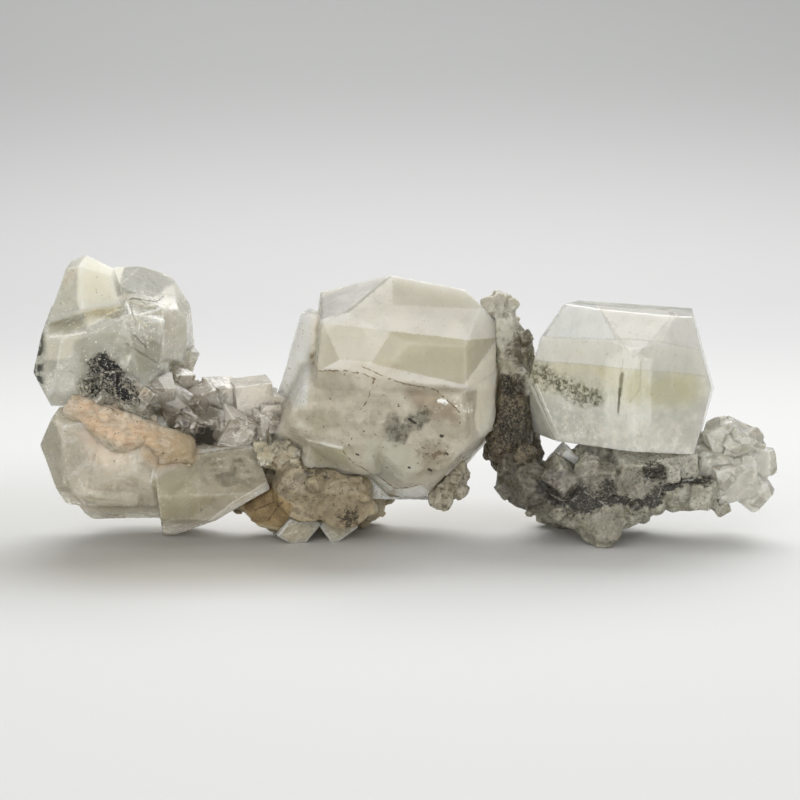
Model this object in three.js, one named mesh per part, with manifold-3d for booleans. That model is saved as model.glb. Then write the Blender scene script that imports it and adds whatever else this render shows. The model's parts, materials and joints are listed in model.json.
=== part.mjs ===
// Apophyllite specimen: clear and milky crystals grown together on a grey-brown druzy matrix,
// with a patch of peach stilbite. Millimetres, +Z up, the front faces -Y.
import * as THREE from 'three';
import Module from 'manifold-3d';
import { ConvexGeometry } from 'three/addons/geometries/ConvexGeometry.js';
import { mergeVertices } from 'three/addons/utils/BufferGeometryUtils.js';

const wasm = await Module();
wasm.setup();

// Clearance kept between pieces that grew against each other.
const GAP = 0.3;
// Side of the rough block that a crystal's faces are cut from, and of the blocks that cut it.
const ROUGH = 60;
const CUTTER = 160;
const UP = new THREE.Vector3(0, 0, 1);
// A small crystal keeps this much of its half diagonal before its corners are cut off.
const CORNER_BASE = 0.36;
const CORNER_REACH = 1.5;
// Sides of the small crystals set into a druse, as shares of the druse's grain size.
const GRAIN_SMALLEST = 0.7;
const GRAIN_SPREAD = 0.8;
// How deep the small crystals sit, as shares of a lobe's radius: nearest, spread and buried.
const SKIN_NEAREST = 0.88;
const SKIN_SPREAD = 0.14;
const BURIED = 0.86;
// A plate's lower rim, as a share of its upper one, and its number of sides.
const PLATE_TAPER = 0.86;
const PLATE_SIDES = 13;

// ---------------------------------------------------------------- helpers

// Makes a boolean-ready solid of a closed three.js geometry.
function solidOf(geometry) {
  geometry.deleteAttribute('normal');
  geometry.deleteAttribute('uv');
  const closed = mergeVertices(geometry);
  return new wasm.Manifold(new wasm.Mesh({
    numProp: 3,
    vertProperties: new Float32Array(closed.attributes.position.array),
    triVerts: new Uint32Array(closed.index.array),
  }));
}

// Turns a solid back into a three.js geometry with flat faces.
function geometryOf(solid) {
  const mesh = solid.getMesh();
  const geometry = new THREE.BufferGeometry();
  geometry.setAttribute('position', new THREE.BufferAttribute(mesh.vertProperties, 3));
  geometry.setIndex(new THREE.BufferAttribute(mesh.triVerts, 1));
  return geometry;
}

function join(solids) {
  return solids.reduce((all, one) => all.add(one));
}

// The biggest body left after cuts; crumbs are dropped.
function biggest(solid) {
  const bodies = solid.decompose();
  return bodies.reduce((best, one) => (one.volume() > best.volume() ? one : best));
}

// A repeatable source of numbers from 0 to 1.
function seeded(seed) {
  let state = seed;
  return () => {
    state = (state * 1664525 + 1013904223) % 4294967296;
    return state / 4294967296;
  };
}

// Unit direction: azimuth turns from the front (-Y) towards +X, elevation rises towards +Z.
function facing(azimuth, elevation) {
  const turn = THREE.MathUtils.degToRad(azimuth);
  const rise = THREE.MathUtils.degToRad(elevation);
  return new THREE.Vector3(
    Math.sin(turn) * Math.cos(rise),
    -Math.cos(turn) * Math.cos(rise),
    Math.sin(rise),
  );
}

// A block that fills everything beyond a plane at the given distance from centre.
function beyond(centre, normal, distance) {
  const block = new THREE.BoxGeometry(CUTTER, CUTTER, CUTTER);
  block.applyQuaternion(new THREE.Quaternion().setFromUnitVectors(UP, normal));
  const offset = normal.clone().multiplyScalar(distance + CUTTER / 2);
  block.translate(centre[0] + offset.x, centre[1] + offset.y, centre[2] + offset.z);
  return solidOf(block);
}

// A crystal bounded by named flat faces, each [azimuth, elevation, distance from centre].
function crystal({ centre, faces }, grow = 0) {
  const rough = new THREE.BoxGeometry(ROUGH, ROUGH, ROUGH);
  rough.translate(...centre);
  return Object.values(faces).reduce(
    (body, [azimuth, elevation, distance]) => body.subtract(
      beyond(centre, facing(azimuth, elevation), distance + grow),
    ),
    solidOf(rough),
  );
}

// Places a geometry: turned by [x, y, z] degrees, then moved.
function placed(geometry, centre, turn) {
  const [x, y, z] = turn.map(THREE.MathUtils.degToRad);
  geometry.applyQuaternion(new THREE.Quaternion().setFromEuler(new THREE.Euler(x, y, z)));
  geometry.translate(...centre);
  return solidOf(geometry);
}

// A small pseudo-cubic crystal [x, y, z], [width, depth, height] with its corners cut off.
function cube({ centre, size, turn = [0, 0, 0], corner = 0.8 }, grow = 0) {
  const sides = size.map((side) => side + 2 * grow);
  const body = placed(new THREE.BoxGeometry(...sides), centre, turn);
  const corners = new THREE.OctahedronGeometry(CORNER_REACH * corner + CORNER_BASE);
  corners.scale(...sides);
  return body.intersect(placed(corners, centre, turn));
}

// Rough points around a lobe [x, y, z, radius]; roughness pushes them in and out.
function roughPoints([x, y, z, radius], random, roughness, grow) {
  const ball = new THREE.IcosahedronGeometry(1, 0);
  ball.deleteAttribute('normal');
  ball.deleteAttribute('uv');
  const points = mergeVertices(ball).attributes.position;
  return Array.from({ length: points.count }, (_, i) => {
    const reach = radius * (1 + roughness * (random() - 0.5)) + grow;
    return new THREE.Vector3().fromBufferAttribute(points, i)
      .multiplyScalar(reach)
      .add(new THREE.Vector3(x, y, z));
  });
}

// True where a point is well inside one of the rods that join neighbouring lobes.
function buried(point, chains) {
  const nearest = new THREE.Vector3();
  return chains.some((chain) => chain.slice(1).some((end, i) => {
    const start = chain[i];
    const axis = new THREE.Line3(new THREE.Vector3(...start), new THREE.Vector3(...end));
    const along = axis.closestPointToPointParameter(point, true);
    axis.at(along, nearest);
    const radius = THREE.MathUtils.lerp(start[3], end[3], along);
    return nearest.distanceTo(point) < BURIED * radius;
  }));
}

// A random place on the open skin of a druzy mass.
function skinPoint(chains, random) {
  const lobes = chains.flat();
  const point = new THREE.Vector3();
  do {
    const [x, y, z, radius] = lobes[Math.floor(random() * lobes.length)];
    point.set(random() - 0.5, random() - 0.5, random() - 0.5);
    point.setLength(radius * (SKIN_NEAREST + SKIN_SPREAD * random()));
    point.add(new THREE.Vector3(x, y, z));
  } while (buried(point, chains));
  return point;
}

// A druzy mass: chains of lobes, each joined to the next by a rough faceted rod, with small
// crystals set into the skin.
function druse({ chains, grains, grain, seed, roughness = 0.3 }, grow = 0) {
  const random = seeded(seed);
  const solids = [];
  for (const chain of chains) {
    const rings = chain.map((lobe) => roughPoints(lobe, random, roughness, grow));
    for (let i = 1; i < rings.length; i += 1) {
      solids.push(solidOf(new ConvexGeometry([...rings[i - 1], ...rings[i]])));
    }
  }
  for (let i = 0; i < grains; i += 1) {
    const centre = skinPoint(chains, random).toArray();
    const side = grain * (GRAIN_SMALLEST + GRAIN_SPREAD * random()) + 2 * grow;
    const turn = [random(), random(), random()].map((part) => 360 * part);
    solids.push(placed(new THREE.BoxGeometry(side, side, side), centre, turn));
  }
  return join(solids);
}

// ---------------------------------------------------------------- crystals

// Pyramid-ended crystal at the top left.
const PYRAMID = {
  centre: [-46.8, -5, 37],
  faces: {
    front_right: [20, 15, 3.6],
    front_left: [-34, 11, 3.5],
    right: [79, 21, 4.8],
    left: [-92, 20, 4.2],
    top_left: [-60, 64, 5.2],
    top_right: [52, 61, 4.8],
    low_front: [33, -66, 2.7],
    back: [166, 9, 2.6],
    bottom: [0, -90, 6],
  },
};

// The big clear block behind it.
const BLOCK = {
  centre: [-38, 3, 33],
  faces: {
    front: [-6, 14, 6.3],
    right: [48, 9, 6.2],
    far_right: [89, 4, 5.4],
    top: [-30, 78, 6.7],
    top_right: [55, 61, 4.4],
    shoulder: [84, 35, 4.8],
    top_back: [171, 51, 8.6],
    back: [158, 4, 6.8],
    back_left: [-140, 12, 9.6],
    low_back: [170, -42, 8.8],
    left: [-95, 0, 11],
    low_right: [80, -16, 6.7],
    low: [32, -68, 7.9],
    bottom: [0, -90, 9],
  },
};

// The broken slab in front of both.
const SLAB = {
  centre: [-46, -2, 27],
  faces: {
    front_left: [-38, 6, 8.6],
    front: [3, -1, 6.8],
    front_low: [4, -24, 7.4],
    front_right: [46, 9, 9.2],
    top_front: [-30, 50, 8.6],
    left: [-92, 13, 8.2],
    low_left: [-79, -26, 8.9],
    back: [-158, -12, 8.8],
    back_right: [142, -6, 10.4],
    top: [0, 80, 8.2],
    right: [90, 0, 11],
    bottom: [0, -84, 6.4],
  },
};

// The faceted nose at the lower left.
const NOSE = {
  centre: [-48, -3, 13],
  faces: {
    front_left: [-44, 4, 6.6],
    front: [8, 6, 6.8],
    left: [-95, 26, 6.1],
    low_left: [-88, -23, 4.8],
    low_front: [-27, -43, 7.7],
    top: [-12, 64, 8.0],
    back: [-162, 8, 8.2],
    back_left: [-128, -4, 7.4],
    low_back: [-150, -40, 7.4],
    right: [88, 0, 9],
    bottom: [-10, -80, 7.2],
  },
};

// The milky body right of the nose.
const BODY = {
  centre: [-41, -4, 13.5],
  faces: {
    front_left: [-14, 10, 6.4],
    front_right: [40, 4, 6.6],
    low_front: [4, -34, 7.0],
    top: [4, 62, 6.2],
    left: [-104, -16, 7.4],
    right: [80, 10, 7],
    back: [166, 24, 8.4],
    low_back: [178, -40, 8.2],
    bottom: [0, -84, 7.6],
  },
};

// The flat lip under the body.
const LIP = {
  centre: [-41.5, 0, 7],
  faces: {
    front: [-4, -12, 5.6],
    left: [-88, -36, 6.6],
    right: [70, -40, 8.0],
    top: [0, 80, 4],
    back: [176, -12, 6.0],
    far_right: [100, 0, 12],
    low: [0, -64, 4.3],
    bottom: [24, -86, 3.7],
  },
};

// The lying prism at the lower right of the left group.
const PRISM = {
  centre: [-29, -2, 9],
  faces: {
    front: [14, 25, 6.0],
    front_low: [14, -20, 6.9],
    top: [4, 65, 6.3],
    left: [-84, -6, 8.2],
    right: [104, 16, 7.2],
    low_right: [90, -60, 4.8],
    low: [4, -68, 6.7],
    back: [160, 10, 8.4],
    back_right: [128, 4, 9.6],
    back_left: [-138, -8, 11.6],
    bottom: [0, -90, 9.6],
  },
};

// The crystal that backs the lower left group.
const BACK_LEFT = {
  centre: [-38, 6, 11],
  faces: {
    top: [150, 58, 5.4],
    top_left: [-120, 48, 7.0],
    back: [172, 4, 7.0],
    left: [-104, 6, 8.0],
    right: [112, 14, 8.4],
    back_right: [138, -20, 8.4],
    low_right: [100, -52, 7.0],
    low_back: [-166, -46, 7.6],
    front: [0, -20, 6],
    front_top: [0, 60, 7],
    bottom: [-50, -74, 8.0],
  },
};

// The big milky crystal in the middle.
const MIDDLE = {
  centre: [-1, 0, 25],
  faces: {
    front_top: [13, 39, 13.2],
    left_top: [-60, 60, 15.0],
    back_top: [167, 55, 9.6],
    front_left: [-4, 13, 13.0],
    front: [10, 1, 12.3],
    left: [-86, 6, 12.7],
    right_top: [100, 45, 15.5],
    right: [60, 3, 14.0],
    far_right: [88, 0, 14.6],
    low_right: [78, -16, 14.2],
    back: [176, -3, 11.6],
    back_left: [-136, 9, 12.6],
    back_right: [128, 5, 13.4],
    back_low: [164, -36, 11.4],
    bottom: [0, -80, 8],
  },
};

// Its frosted, broken lower half, in two masses.
const BROKEN_LEFT = {
  centre: [-6, -1, 19],
  faces: {
    front: [0, 2, 12.6],
    left: [-84, 26, 11.4],
    low_left: [-49, -51, 10.0],
    low_front: [4, -56, 11.3],
    top: [7, 80, 7.2],
    right: [70, -20, 6.9],
    back: [-168, 14, 9.0],
    back_low: [-172, -38, 9.2],
    bottom: [0, -84, 8.6],
  },
};
const BROKEN_RIGHT = {
  centre: [2, -1, 19],
  faces: {
    front: [4, -2, 12.1],
    front_right: [60, 6, 11.6],
    right: [82, -5, 11.2],
    low_right: [74, -42, 9.6],
    low_front: [12, -52, 12.4],
    low_left: [-49, -42, 11.6],
    top: [-6, 80, 6.6],
    left: [-90, 0, 12],
    back_left: [-132, 8, 11.0],
    back: [164, 12, 9.4],
    bottom: [0, -86, 12.0],
  },
};

// The biggest and clearest crystal, at the right.
const RIGHT = {
  centre: [33, 0, 24],
  faces: {
    top: [70, 85, 10.9],
    top_left: [-27, 52, 12.4],
    corner: [2, 57, 11.7],
    top_right: [27, 46, 12.9],
    front_left: [-25, 1, 10.9],
    front_right: [15, 2, 11.7],
    far_left: [-117, 15, 10.6],
    far_right: [84, 16, 12.3],
    low_right: [80, -14, 12.9],
    low_left: [-71, -21, 14.5],
    back_left: [-150, 2, 12.5],
    back_right: [140, 2, 13.0],
    back_top: [180, 50, 11.5],
    bottom: [-70, -85, 9.2],
  },
};

// ---------------------------------------------------------------- pieces

function upperLeftCrystals(grow) {
  return join([
    crystal(PYRAMID, grow),
    crystal(BLOCK, grow),
    crystal(SLAB, grow),
    cube({ centre: [-43.4, -5.6, 33.2], size: [7, 5, 3.4], turn: [24, -14, 14] }, grow),
    cube({ centre: [-39, -3.4, 31.4], size: [5, 4.6, 7], turn: [14, 16, 10] }, grow),
    cube({ centre: [-37.6, 5, 26.4], size: [8, 9, 8], turn: [12, 20, 30] }, grow),
  ]);
}

function lowerLeftCrystals(grow) {
  return join([
    crystal(NOSE, grow),
    crystal(BODY, grow),
    crystal(LIP, grow),
    crystal(PRISM, grow),
    cube({ centre: [-38.6, -9.0, 13.4], size: [3.4, 3, 7.4], turn: [8, 24, 30], corner: 0.7 }, grow),
    crystal(BACK_LEFT, grow),
  ]);
}

const STILBITE = {
  chains: [[
    [-47.4, -7.6, 20.6, 2.2],
    [-44.2, -8.4, 19.0, 3.2],
    [-41.0, -9.0, 17.2, 3.4],
    [-37.4, -8.0, 15.6, 3.4],
    [-33.4, -6.8, 14.6, 2.4],
  ]],
  grains: 8,
  grain: 1.3,
  seed: 11,
  roughness: 0.25,
};

const LEFT_DRUSE = {
  chains: [[
    [-45.4, -8.2, 23.4, 2.6],
    [-42.2, -9.0, 24.6, 2.8],
    [-39.4, -8.8, 21.4, 2.8],
    [-40.5, -2.0, 20.0, 4.0],
  ]],
  grains: 18,
  grain: 1.4,
  seed: 23,
};

const BRIDGE_DRUSE = {
  chains: [
    [
      [-36.0, -4.4, 22.4, 3.2],
      [-32.2, -4.4, 19.2, 3.4],
      [-24.6, -1.8, 16.0, 3.4],
    ],
    [
      [-33.0, 1.5, 17.5, 4.6],
      [-22.0, 2.5, 15.0, 4.6],
    ],
  ],
  grains: 20,
  grain: 1.8,
  seed: 37,
};
const BRIDGE_CUBES = [
  { centre: [-22.9, 0, 21.2], size: [5.6, 6, 5.6], turn: [6, -4, 12], corner: 0.9 },
  { centre: [-27.4, 0.4, 21.6], size: [5.2, 5, 4.4], turn: [10, 10, 34] },
  { centre: [-30.6, -2.5, 20.8], size: [5.2, 4.6, 4.8], turn: [20, -12, 20] },
  { centre: [-34.4, -1.5, 24.0], size: [3.6, 4.4, 4.4], turn: [14, 18, 40] },
  { centre: [-36.6, -5.6, 22.6], size: [4.2, 4.0, 5.6], turn: [30, 10, 12] },
  { centre: [-25.4, -3.8, 17.4], size: [4.8, 4.4, 4.6], turn: [12, 30, 24] },
  { centre: [-20.2, -2.0, 17.4], size: [4.2, 4.4, 4.6], turn: [22, 14, 50] },
  { centre: [-19.4, 0.4, 20.2], size: [3.0, 4.0, 4.0], turn: [8, 24, 20] },
];

function bridgeCrystals(grow) {
  return join([druse(BRIDGE_DRUSE, grow), ...BRIDGE_CUBES.map((one) => cube(one, grow))]);
}

function middleCrystal(grow) {
  return join([
    crystal(MIDDLE, grow),
    crystal(BROKEN_LEFT, grow),
    crystal(BROKEN_RIGHT, grow),
    cube({ centre: [-15.6, 4, 27.2], size: [3.0, 8, 13.6], turn: [0, 17, -6], corner: 0.9 }, grow),
    cube({ centre: [-12.0, -6.5, 15.0], size: [6.4, 5, 5.0], turn: [16, 6, 14] }, grow),
  ]);
}

// The pale crystal that shows under the middle one.
function footCrystal(grow) {
  return cube({ centre: [-0.4, 0, 9.4], size: [11, 8, 5.0], turn: [6, 3, 8], corner: 0.8 }, grow);
}

// A rounded plate of brown matrix: [x, y, z], radius, thickness, turned to face the front.
function plate({ centre, radius, thickness, turn }, grow) {
  const disc = new THREE.CylinderGeometry(
    radius + grow,
    radius * PLATE_TAPER + grow,
    thickness + 2 * grow,
    PLATE_SIDES,
  );
  return placed(disc, centre, turn);
}

const BROWN_PLATES = [
  { centre: [-14.6, -6.0, 8.4], radius: 5.2, thickness: 4.6, turn: [6, 0, 4] },
  { centre: [-9.4, -5.4, 7.0], radius: 4.9, thickness: 4.6, turn: [10, 20, 12] },
];
const BROWN_FAN = {
  centre: [-21, -2, 6.2],
  faces: {
    front: [-12, -6, 2.6],
    top_left: [-80, 62, 1.6],
    low_left: [-80, -44, 3.5],
    low: [-60, -78, 4.1],
    low_right: [80, -40, 4.8],
    right: [90, 0, 5],
    back: [176, 0, 6],
    top: [0, 88, 4],
  },
};
const BROWN_DRUSE = {
  chains: [
    [
      [-20.0, -2.6, 13.4, 2.8],
      [-15.6, -4.6, 14.0, 2.8],
    ],
    [
      [-15.0, -5.4, 8.6, 4.4],
      [-7.6, -5.2, 8.0, 3.6],
    ],
    [
      [-19.0, 4.0, 8.6, 5.2],
      [-5.0, 4.6, 8.0, 5.4],
    ],
    [
      [-14.0, 8.6, 4.2, 5.2],
      [-7.0, 11.0, 3.8, 5.2],
    ],
  ],
  grains: 27,
  grain: 1.5,
  seed: 51,
};

function brownMatrix(grow) {
  return join([
    druse(BROWN_DRUSE, grow),
    crystal(BROWN_FAN, grow),
    ...BROWN_PLATES.map((one) => plate(one, grow)),
  ]);
}

const GREY_KNOB = {
  chains: [[
    [3.4, -4.6, 8.6, 1.8],
    [5.6, -5.0, 8.8, 2.4],
    [7.2, -4.6, 10.2, 2.2],
    [5.5, 0.0, 9.8, 3.2],
  ]],
  grains: 12,
  grain: 1.3,
  seed: 67,
};

const ARM_COLUMN = {
  chains: [
    [
      [14.0, 0.5, 34.0, 2.6],
      [13.8, 0.5, 31.6, 3.2],
      [16.6, 0.4, 28.6, 3.4],
      [16.4, 0.2, 24.6, 3.3],
      [16.0, 0.0, 20.4, 3.2],
      [15.8, 0.0, 16.8, 3.8],
      [15.4, 0.0, 14.0, 3.6],
    ],
    [
      [17.4, 2.0, 25.6, 3.0],
      [21.8, 2.8, 24.6, 2.6],
      [27.0, 3.6, 21.8, 1.7],
    ],
    [
      [17.2, 5.0, 25.0, 3.2],
      [16.6, 6.0, 16.0, 4.6],
    ],
  ],
  grains: 40,
  grain: 1.5,
  seed: 71,
};

const ARM_FOOT = {
  chains: [
    [
      [16.8, -1.0, 10.0, 3.6],
      [19.8, -3.0, 7.4, 3.9],
      [25.0, -4.4, 6.2, 4.0],
      [33.0, -4.6, 5.6, 4.0],
      [38.0, -3.8, 7.8, 3.4],
      [46.0, -2.8, 7.8, 3.0],
    ],
    [
      [27.0, -5.0, 4.6, 3.4],
      [28.8, -6.0, 1.6, 2.0],
    ],
    [
      [27.4, 0.5, 12.4, 2.6],
      [39.6, 0.0, 12.6, 3.0],
    ],
    [
      [22.5, 3.0, 7.4, 4.8],
      [41.0, 3.5, 8.4, 4.8],
    ],
    [
      [33.0, 7.0, 6.4, 5.0],
      [25.0, 9.6, 3.6, 5.0],
    ],
  ],
  grains: 44,
  grain: 1.6,
  seed: 83,
};
// Flat-faced crystals that overhang the dark seam of the foot.
const FOOT_CUBES = [
  { centre: [23.0, -5.2, 10.0], size: [5.0, 4.6, 4.6], turn: [14, 40, 12], corner: 0.9 },
  { centre: [28.8, -5.0, 10.0], size: [6.0, 5.0, 4.8], turn: [18, 24, 10], corner: 0.9 },
  { centre: [34.0, -4.4, 11.0], size: [6.0, 5.0, 4.8], turn: [20, 10, 16], corner: 0.9 },
  { centre: [40.0, -3.6, 12.0], size: [6.6, 5.0, 4.0], turn: [14, -8, 8], corner: 0.9 },
];

function armFoot(grow) {
  return join([druse(ARM_FOOT, grow), ...FOOT_CUBES.map((one) => cube(one, grow))]);
}

const END_CUBES = [
  { centre: [46.9, -0.5, 15.0], size: [4.8, 5.0, 5.0], turn: [10, -20, 24], corner: 0.7 },
  { centre: [49.8, 0.0, 14.0], size: [5.4, 6.0, 6.0], turn: [12, 30, 14], corner: 0.7 },
  { centre: [51.6, 0.5, 11.2], size: [4.8, 5.4, 5.2], turn: [6, 16, 34], corner: 0.65 },
  { centre: [48.8, -2.2, 9.8], size: [6.4, 5.6, 5.8], turn: [18, -8, 16], corner: 0.75 },
  { centre: [51.9, -1.0, 7.8], size: [4.8, 4.8, 4.8], turn: [8, 40, 10], corner: 0.65 },
  { centre: [45.8, -2.0, 11.4], size: [4.8, 4.8, 5.2], turn: [26, 14, 8], corner: 0.75 },
  { centre: [48.4, 4.0, 10.4], size: [8.0, 6.0, 7.4], turn: [14, 20, 30], corner: 0.75 },
];

function endCluster(grow) {
  return join(END_CUBES.map((one) => cube(one, grow)));
}

const TOE_LEFT = { centre: [-16.3, -3.4, 2.8], size: [4.6, 4.0, 5.0], turn: [10, 38, 20], corner: 0.75 };
const TOE_RIGHT = { centre: [-10.6, -1.6, 2.8], size: [4.6, 4.2, 4.8], turn: [8, -34, 14], corner: 0.75 };
const ARM_CRYSTAL = { centre: [23.8, -3.0, 12.4], size: [3.2, 3.0, 3.6], turn: [6, 42, 16], corner: 0.7 };

// ---------------------------------------------------------------- assembly

const LOOKS = {
  milky: { color: 0xcfccb8, roughness: 0.35, metalness: 0 },
  clear: { color: 0xd4d8cc, roughness: 0.15, metalness: 0 },
  grey_druse: { color: 0x8d897c, roughness: 0.8, metalness: 0 },
  brown_druse: { color: 0x96886a, roughness: 0.8, metalness: 0 },
  peach: { color: 0xd6b090, roughness: 0.6, metalness: 0 },
  pale_druse: { color: 0xb8b3a4, roughness: 0.55, metalness: 0 },
};

const floor = (() => {
  const slab = new THREE.BoxGeometry(CUTTER, CUTTER, CUTTER);
  slab.translate(0, 0, -CUTTER / 2);
  return solidOf(slab);
})();

// Every piece in growing order: a later piece is cut clear of the earlier ones it meets.
const PIECES = [
  { name: 'right_crystal', look: 'clear', make: (grow) => crystal(RIGHT, grow) },
  { name: 'middle_crystal', look: 'milky', make: middleCrystal },
  { name: 'upper_left_crystals', look: 'clear', make: upperLeftCrystals },
  { name: 'lower_left_crystals', look: 'milky', make: lowerLeftCrystals },
  { name: 'stilbite', look: 'peach', make: (grow) => druse(STILBITE, grow) },
  { name: 'left_druse', look: 'grey_druse', make: (grow) => druse(LEFT_DRUSE, grow) },
  { name: 'bridge_crystals', look: 'pale_druse', make: bridgeCrystals },
  { name: 'foot_crystal', look: 'clear', make: footCrystal },
  { name: 'grey_knob', look: 'grey_druse', make: (grow) => druse(GREY_KNOB, grow) },
  { name: 'brown_matrix', look: 'brown_druse', make: brownMatrix },
  { name: 'end_cluster', look: 'pale_druse', make: endCluster },
  { name: 'arm_column', look: 'grey_druse', make: (grow) => druse(ARM_COLUMN, grow) },
  { name: 'arm_foot', look: 'grey_druse', make: armFoot },
  { name: 'toe_left', look: 'clear', make: (grow) => cube(TOE_LEFT, grow) },
  { name: 'toe_right', look: 'clear', make: (grow) => cube(TOE_RIGHT, grow) },
  { name: 'arm_crystal', look: 'clear', make: (grow) => cube(ARM_CRYSTAL, grow) },
];

const specimen = new THREE.Group();
const grown = [];
for (const { name, look, make } of PIECES) {
  const cut = grown.reduce((body, other) => body.subtract(other), make(0));
  const body = biggest(cut.subtract(floor));
  const mesh = new THREE.Mesh(geometryOf(body), new THREE.MeshStandardMaterial(LOOKS[look]));
  mesh.name = name;
  specimen.add(mesh);
  grown.push(make(GAP));
}

// The origin is at floor height under the middle of the specimen's box.
const middle = new THREE.Box3().setFromObject(specimen).getCenter(new THREE.Vector3());
specimen.position.set(-middle.x, -middle.y, 0);

export default specimen;
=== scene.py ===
# %% [markdown]
# # A specimen of apophyllite, dressed
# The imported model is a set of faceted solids: crystals, druzy matrix and a patch of stilbite.
# It could be rendered as it is, but real faces are never so even. So each solid is copied,
# resampled, chipped and grained where the stone is rough, and given a finish worked out in nodes.

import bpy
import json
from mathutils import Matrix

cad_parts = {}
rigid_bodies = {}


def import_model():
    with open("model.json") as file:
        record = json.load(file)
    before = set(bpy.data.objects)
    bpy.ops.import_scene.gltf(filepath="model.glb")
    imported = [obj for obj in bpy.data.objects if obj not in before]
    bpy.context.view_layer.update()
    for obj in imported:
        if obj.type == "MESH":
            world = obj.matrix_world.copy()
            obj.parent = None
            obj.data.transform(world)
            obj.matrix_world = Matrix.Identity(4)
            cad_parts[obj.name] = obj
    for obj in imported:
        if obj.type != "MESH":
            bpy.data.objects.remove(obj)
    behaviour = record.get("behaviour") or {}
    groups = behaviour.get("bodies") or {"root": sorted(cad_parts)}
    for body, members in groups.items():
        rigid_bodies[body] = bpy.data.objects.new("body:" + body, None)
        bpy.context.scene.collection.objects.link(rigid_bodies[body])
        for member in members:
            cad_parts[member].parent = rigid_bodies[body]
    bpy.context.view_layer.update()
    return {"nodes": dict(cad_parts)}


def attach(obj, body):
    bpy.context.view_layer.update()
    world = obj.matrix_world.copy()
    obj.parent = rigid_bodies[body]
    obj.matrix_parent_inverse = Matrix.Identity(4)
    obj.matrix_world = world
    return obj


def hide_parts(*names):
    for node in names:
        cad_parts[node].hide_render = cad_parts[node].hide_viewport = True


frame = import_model()
print("solids:", sorted(frame["nodes"]))

# %% The libraries and the unit
import json
import math
import random

import bmesh
import bpy
from mathutils import Euler, Matrix, Vector, noise
from mathutils.bvhtree import BVHTree
from mathutils.kdtree import KDTree

MM = 0.001

# Without a seed the noise vectors start from the clock, and the chips would fall anew in every run.
NOISE_SEED = 1
noise.seed_set(NOISE_SEED)

# %% [markdown]
# ## The camera
# A long lens from a little above keeps the crystals' proportions true, as in a museum picture.
# A short lens would swell the nearest crystal. The camera looks level along +Y, so only its
# height and its tilt have to be chosen.

# %% Place the camera
AIM = Vector((-0.912, -0.963, 21.0)) * MM
CAMERA_DISTANCE = 400 * MM
CAMERA_RISE = math.radians(8)
LENS_LENGTH = 120
SENSOR_WIDTH = 36

lens = bpy.data.cameras.new("camera")
lens.lens = LENS_LENGTH
lens.sensor_width = SENSOR_WIDTH
camera = bpy.data.objects.new("camera", lens)
bpy.context.scene.collection.objects.link(camera)
away = Vector((0, -math.cos(CAMERA_RISE), math.sin(CAMERA_RISE)))
camera.location = AIM + away * CAMERA_DISTANCE
camera.rotation_euler = (math.radians(90) - CAMERA_RISE, 0, 0)
bpy.context.scene.camera = camera
print("camera at, mm:", [round(value / MM) for value in camera.location])

# %% [markdown]
# ## Mesh helpers
# Every piece starts as a welded copy of its solid. Noise needs many small faces to bite on, so
# the copy is resampled by a voxel Remesh. Remeshing wobbles flat faces a little, and a crystal
# face has to be flat to shine as one sheet, so its points are put back on the solid's surface.


# %% Copy a solid
WELD = 0.002 * MM


def node_copy(name):
    """A welded bmesh copy of one solid."""
    copy = bmesh.new()
    copy.from_mesh(frame["nodes"][name].data)
    bmesh.ops.remove_doubles(copy, verts=copy.verts, dist=WELD)
    return copy


# %% Resample a form into small even faces
def resampled(form, voxel):
    mesh = bpy.data.meshes.new("form")
    form.to_mesh(mesh)
    holder = bpy.data.objects.new("form", mesh)
    bpy.context.scene.collection.objects.link(holder)
    remesh = holder.modifiers.new("even_faces", "REMESH")
    remesh.mode = "VOXEL"
    remesh.voxel_size = voxel * MM
    shaped = holder.evaluated_get(bpy.context.evaluated_depsgraph_get())
    even = bpy.data.meshes.new_from_object(shaped)
    result = bmesh.new()
    result.from_mesh(even)
    for spare in (holder, mesh, even):
        bpy.data.batch_remove([spare])
    return result


# %% Put points back on a surface
def settle(form, surface):
    for point in form.verts:
        point.co = surface.find_nearest(point.co)[0]


# %% Wear a surface round
def soften(form, rounds, where=None):
    worn = [point for point in form.verts if where is None or where(point.co / MM)]
    for turn in range(rounds):
        bmesh.ops.smooth_vert(
            form, verts=worn, factor=0.5, use_axis_x=True, use_axis_y=True, use_axis_z=True
        )


# %% Turn a finished bmesh into a piece of the specimen
def add_piece(form, node, finish):
    """Makes the skin that stands for one solid; nothing of it reaches below the table."""
    name = node + "_skin"
    for point in form.verts:
        point.co.z = max(point.co.z, 0.0)
    bmesh.ops.recalc_face_normals(form, faces=form.faces)
    mesh = bpy.data.meshes.new(name)
    form.to_mesh(mesh)
    mesh.shade_smooth()
    mesh.materials.append(finish)
    piece = bpy.data.objects.new(name, mesh)
    bpy.context.scene.collection.objects.link(piece)
    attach(piece, "root")
    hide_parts(node)
    triangles = sum(len(face.verts) - 2 for face in form.faces)
    form.free()
    print(f"{name}: {triangles} triangles")


# %% [markdown]
# ## Marks along edges
# On a real crystal the sharp edges are finely chipped and catch the light, so the outer edges are
# painted pale, partly as chips and partly as painted highlight, and the lines where two crystals
# meet are painted darker. Each point therefore remembers how near it is to an outer edge and to
# an inner one, in two attributes the finishes read. Points set along the edges go in a tree, so
# finding the nearest is quick.

# %% Measure how near every point is to an edge
SHARP = math.radians(14)
EDGE_SPACING = 0.25
EDGE_REACH = 0.32


def memory(form, name):
    """The layer in which every point of a form remembers a number under that name."""
    return form.verts.layers.float.get(name) or form.verts.layers.float.new(name)


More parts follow.
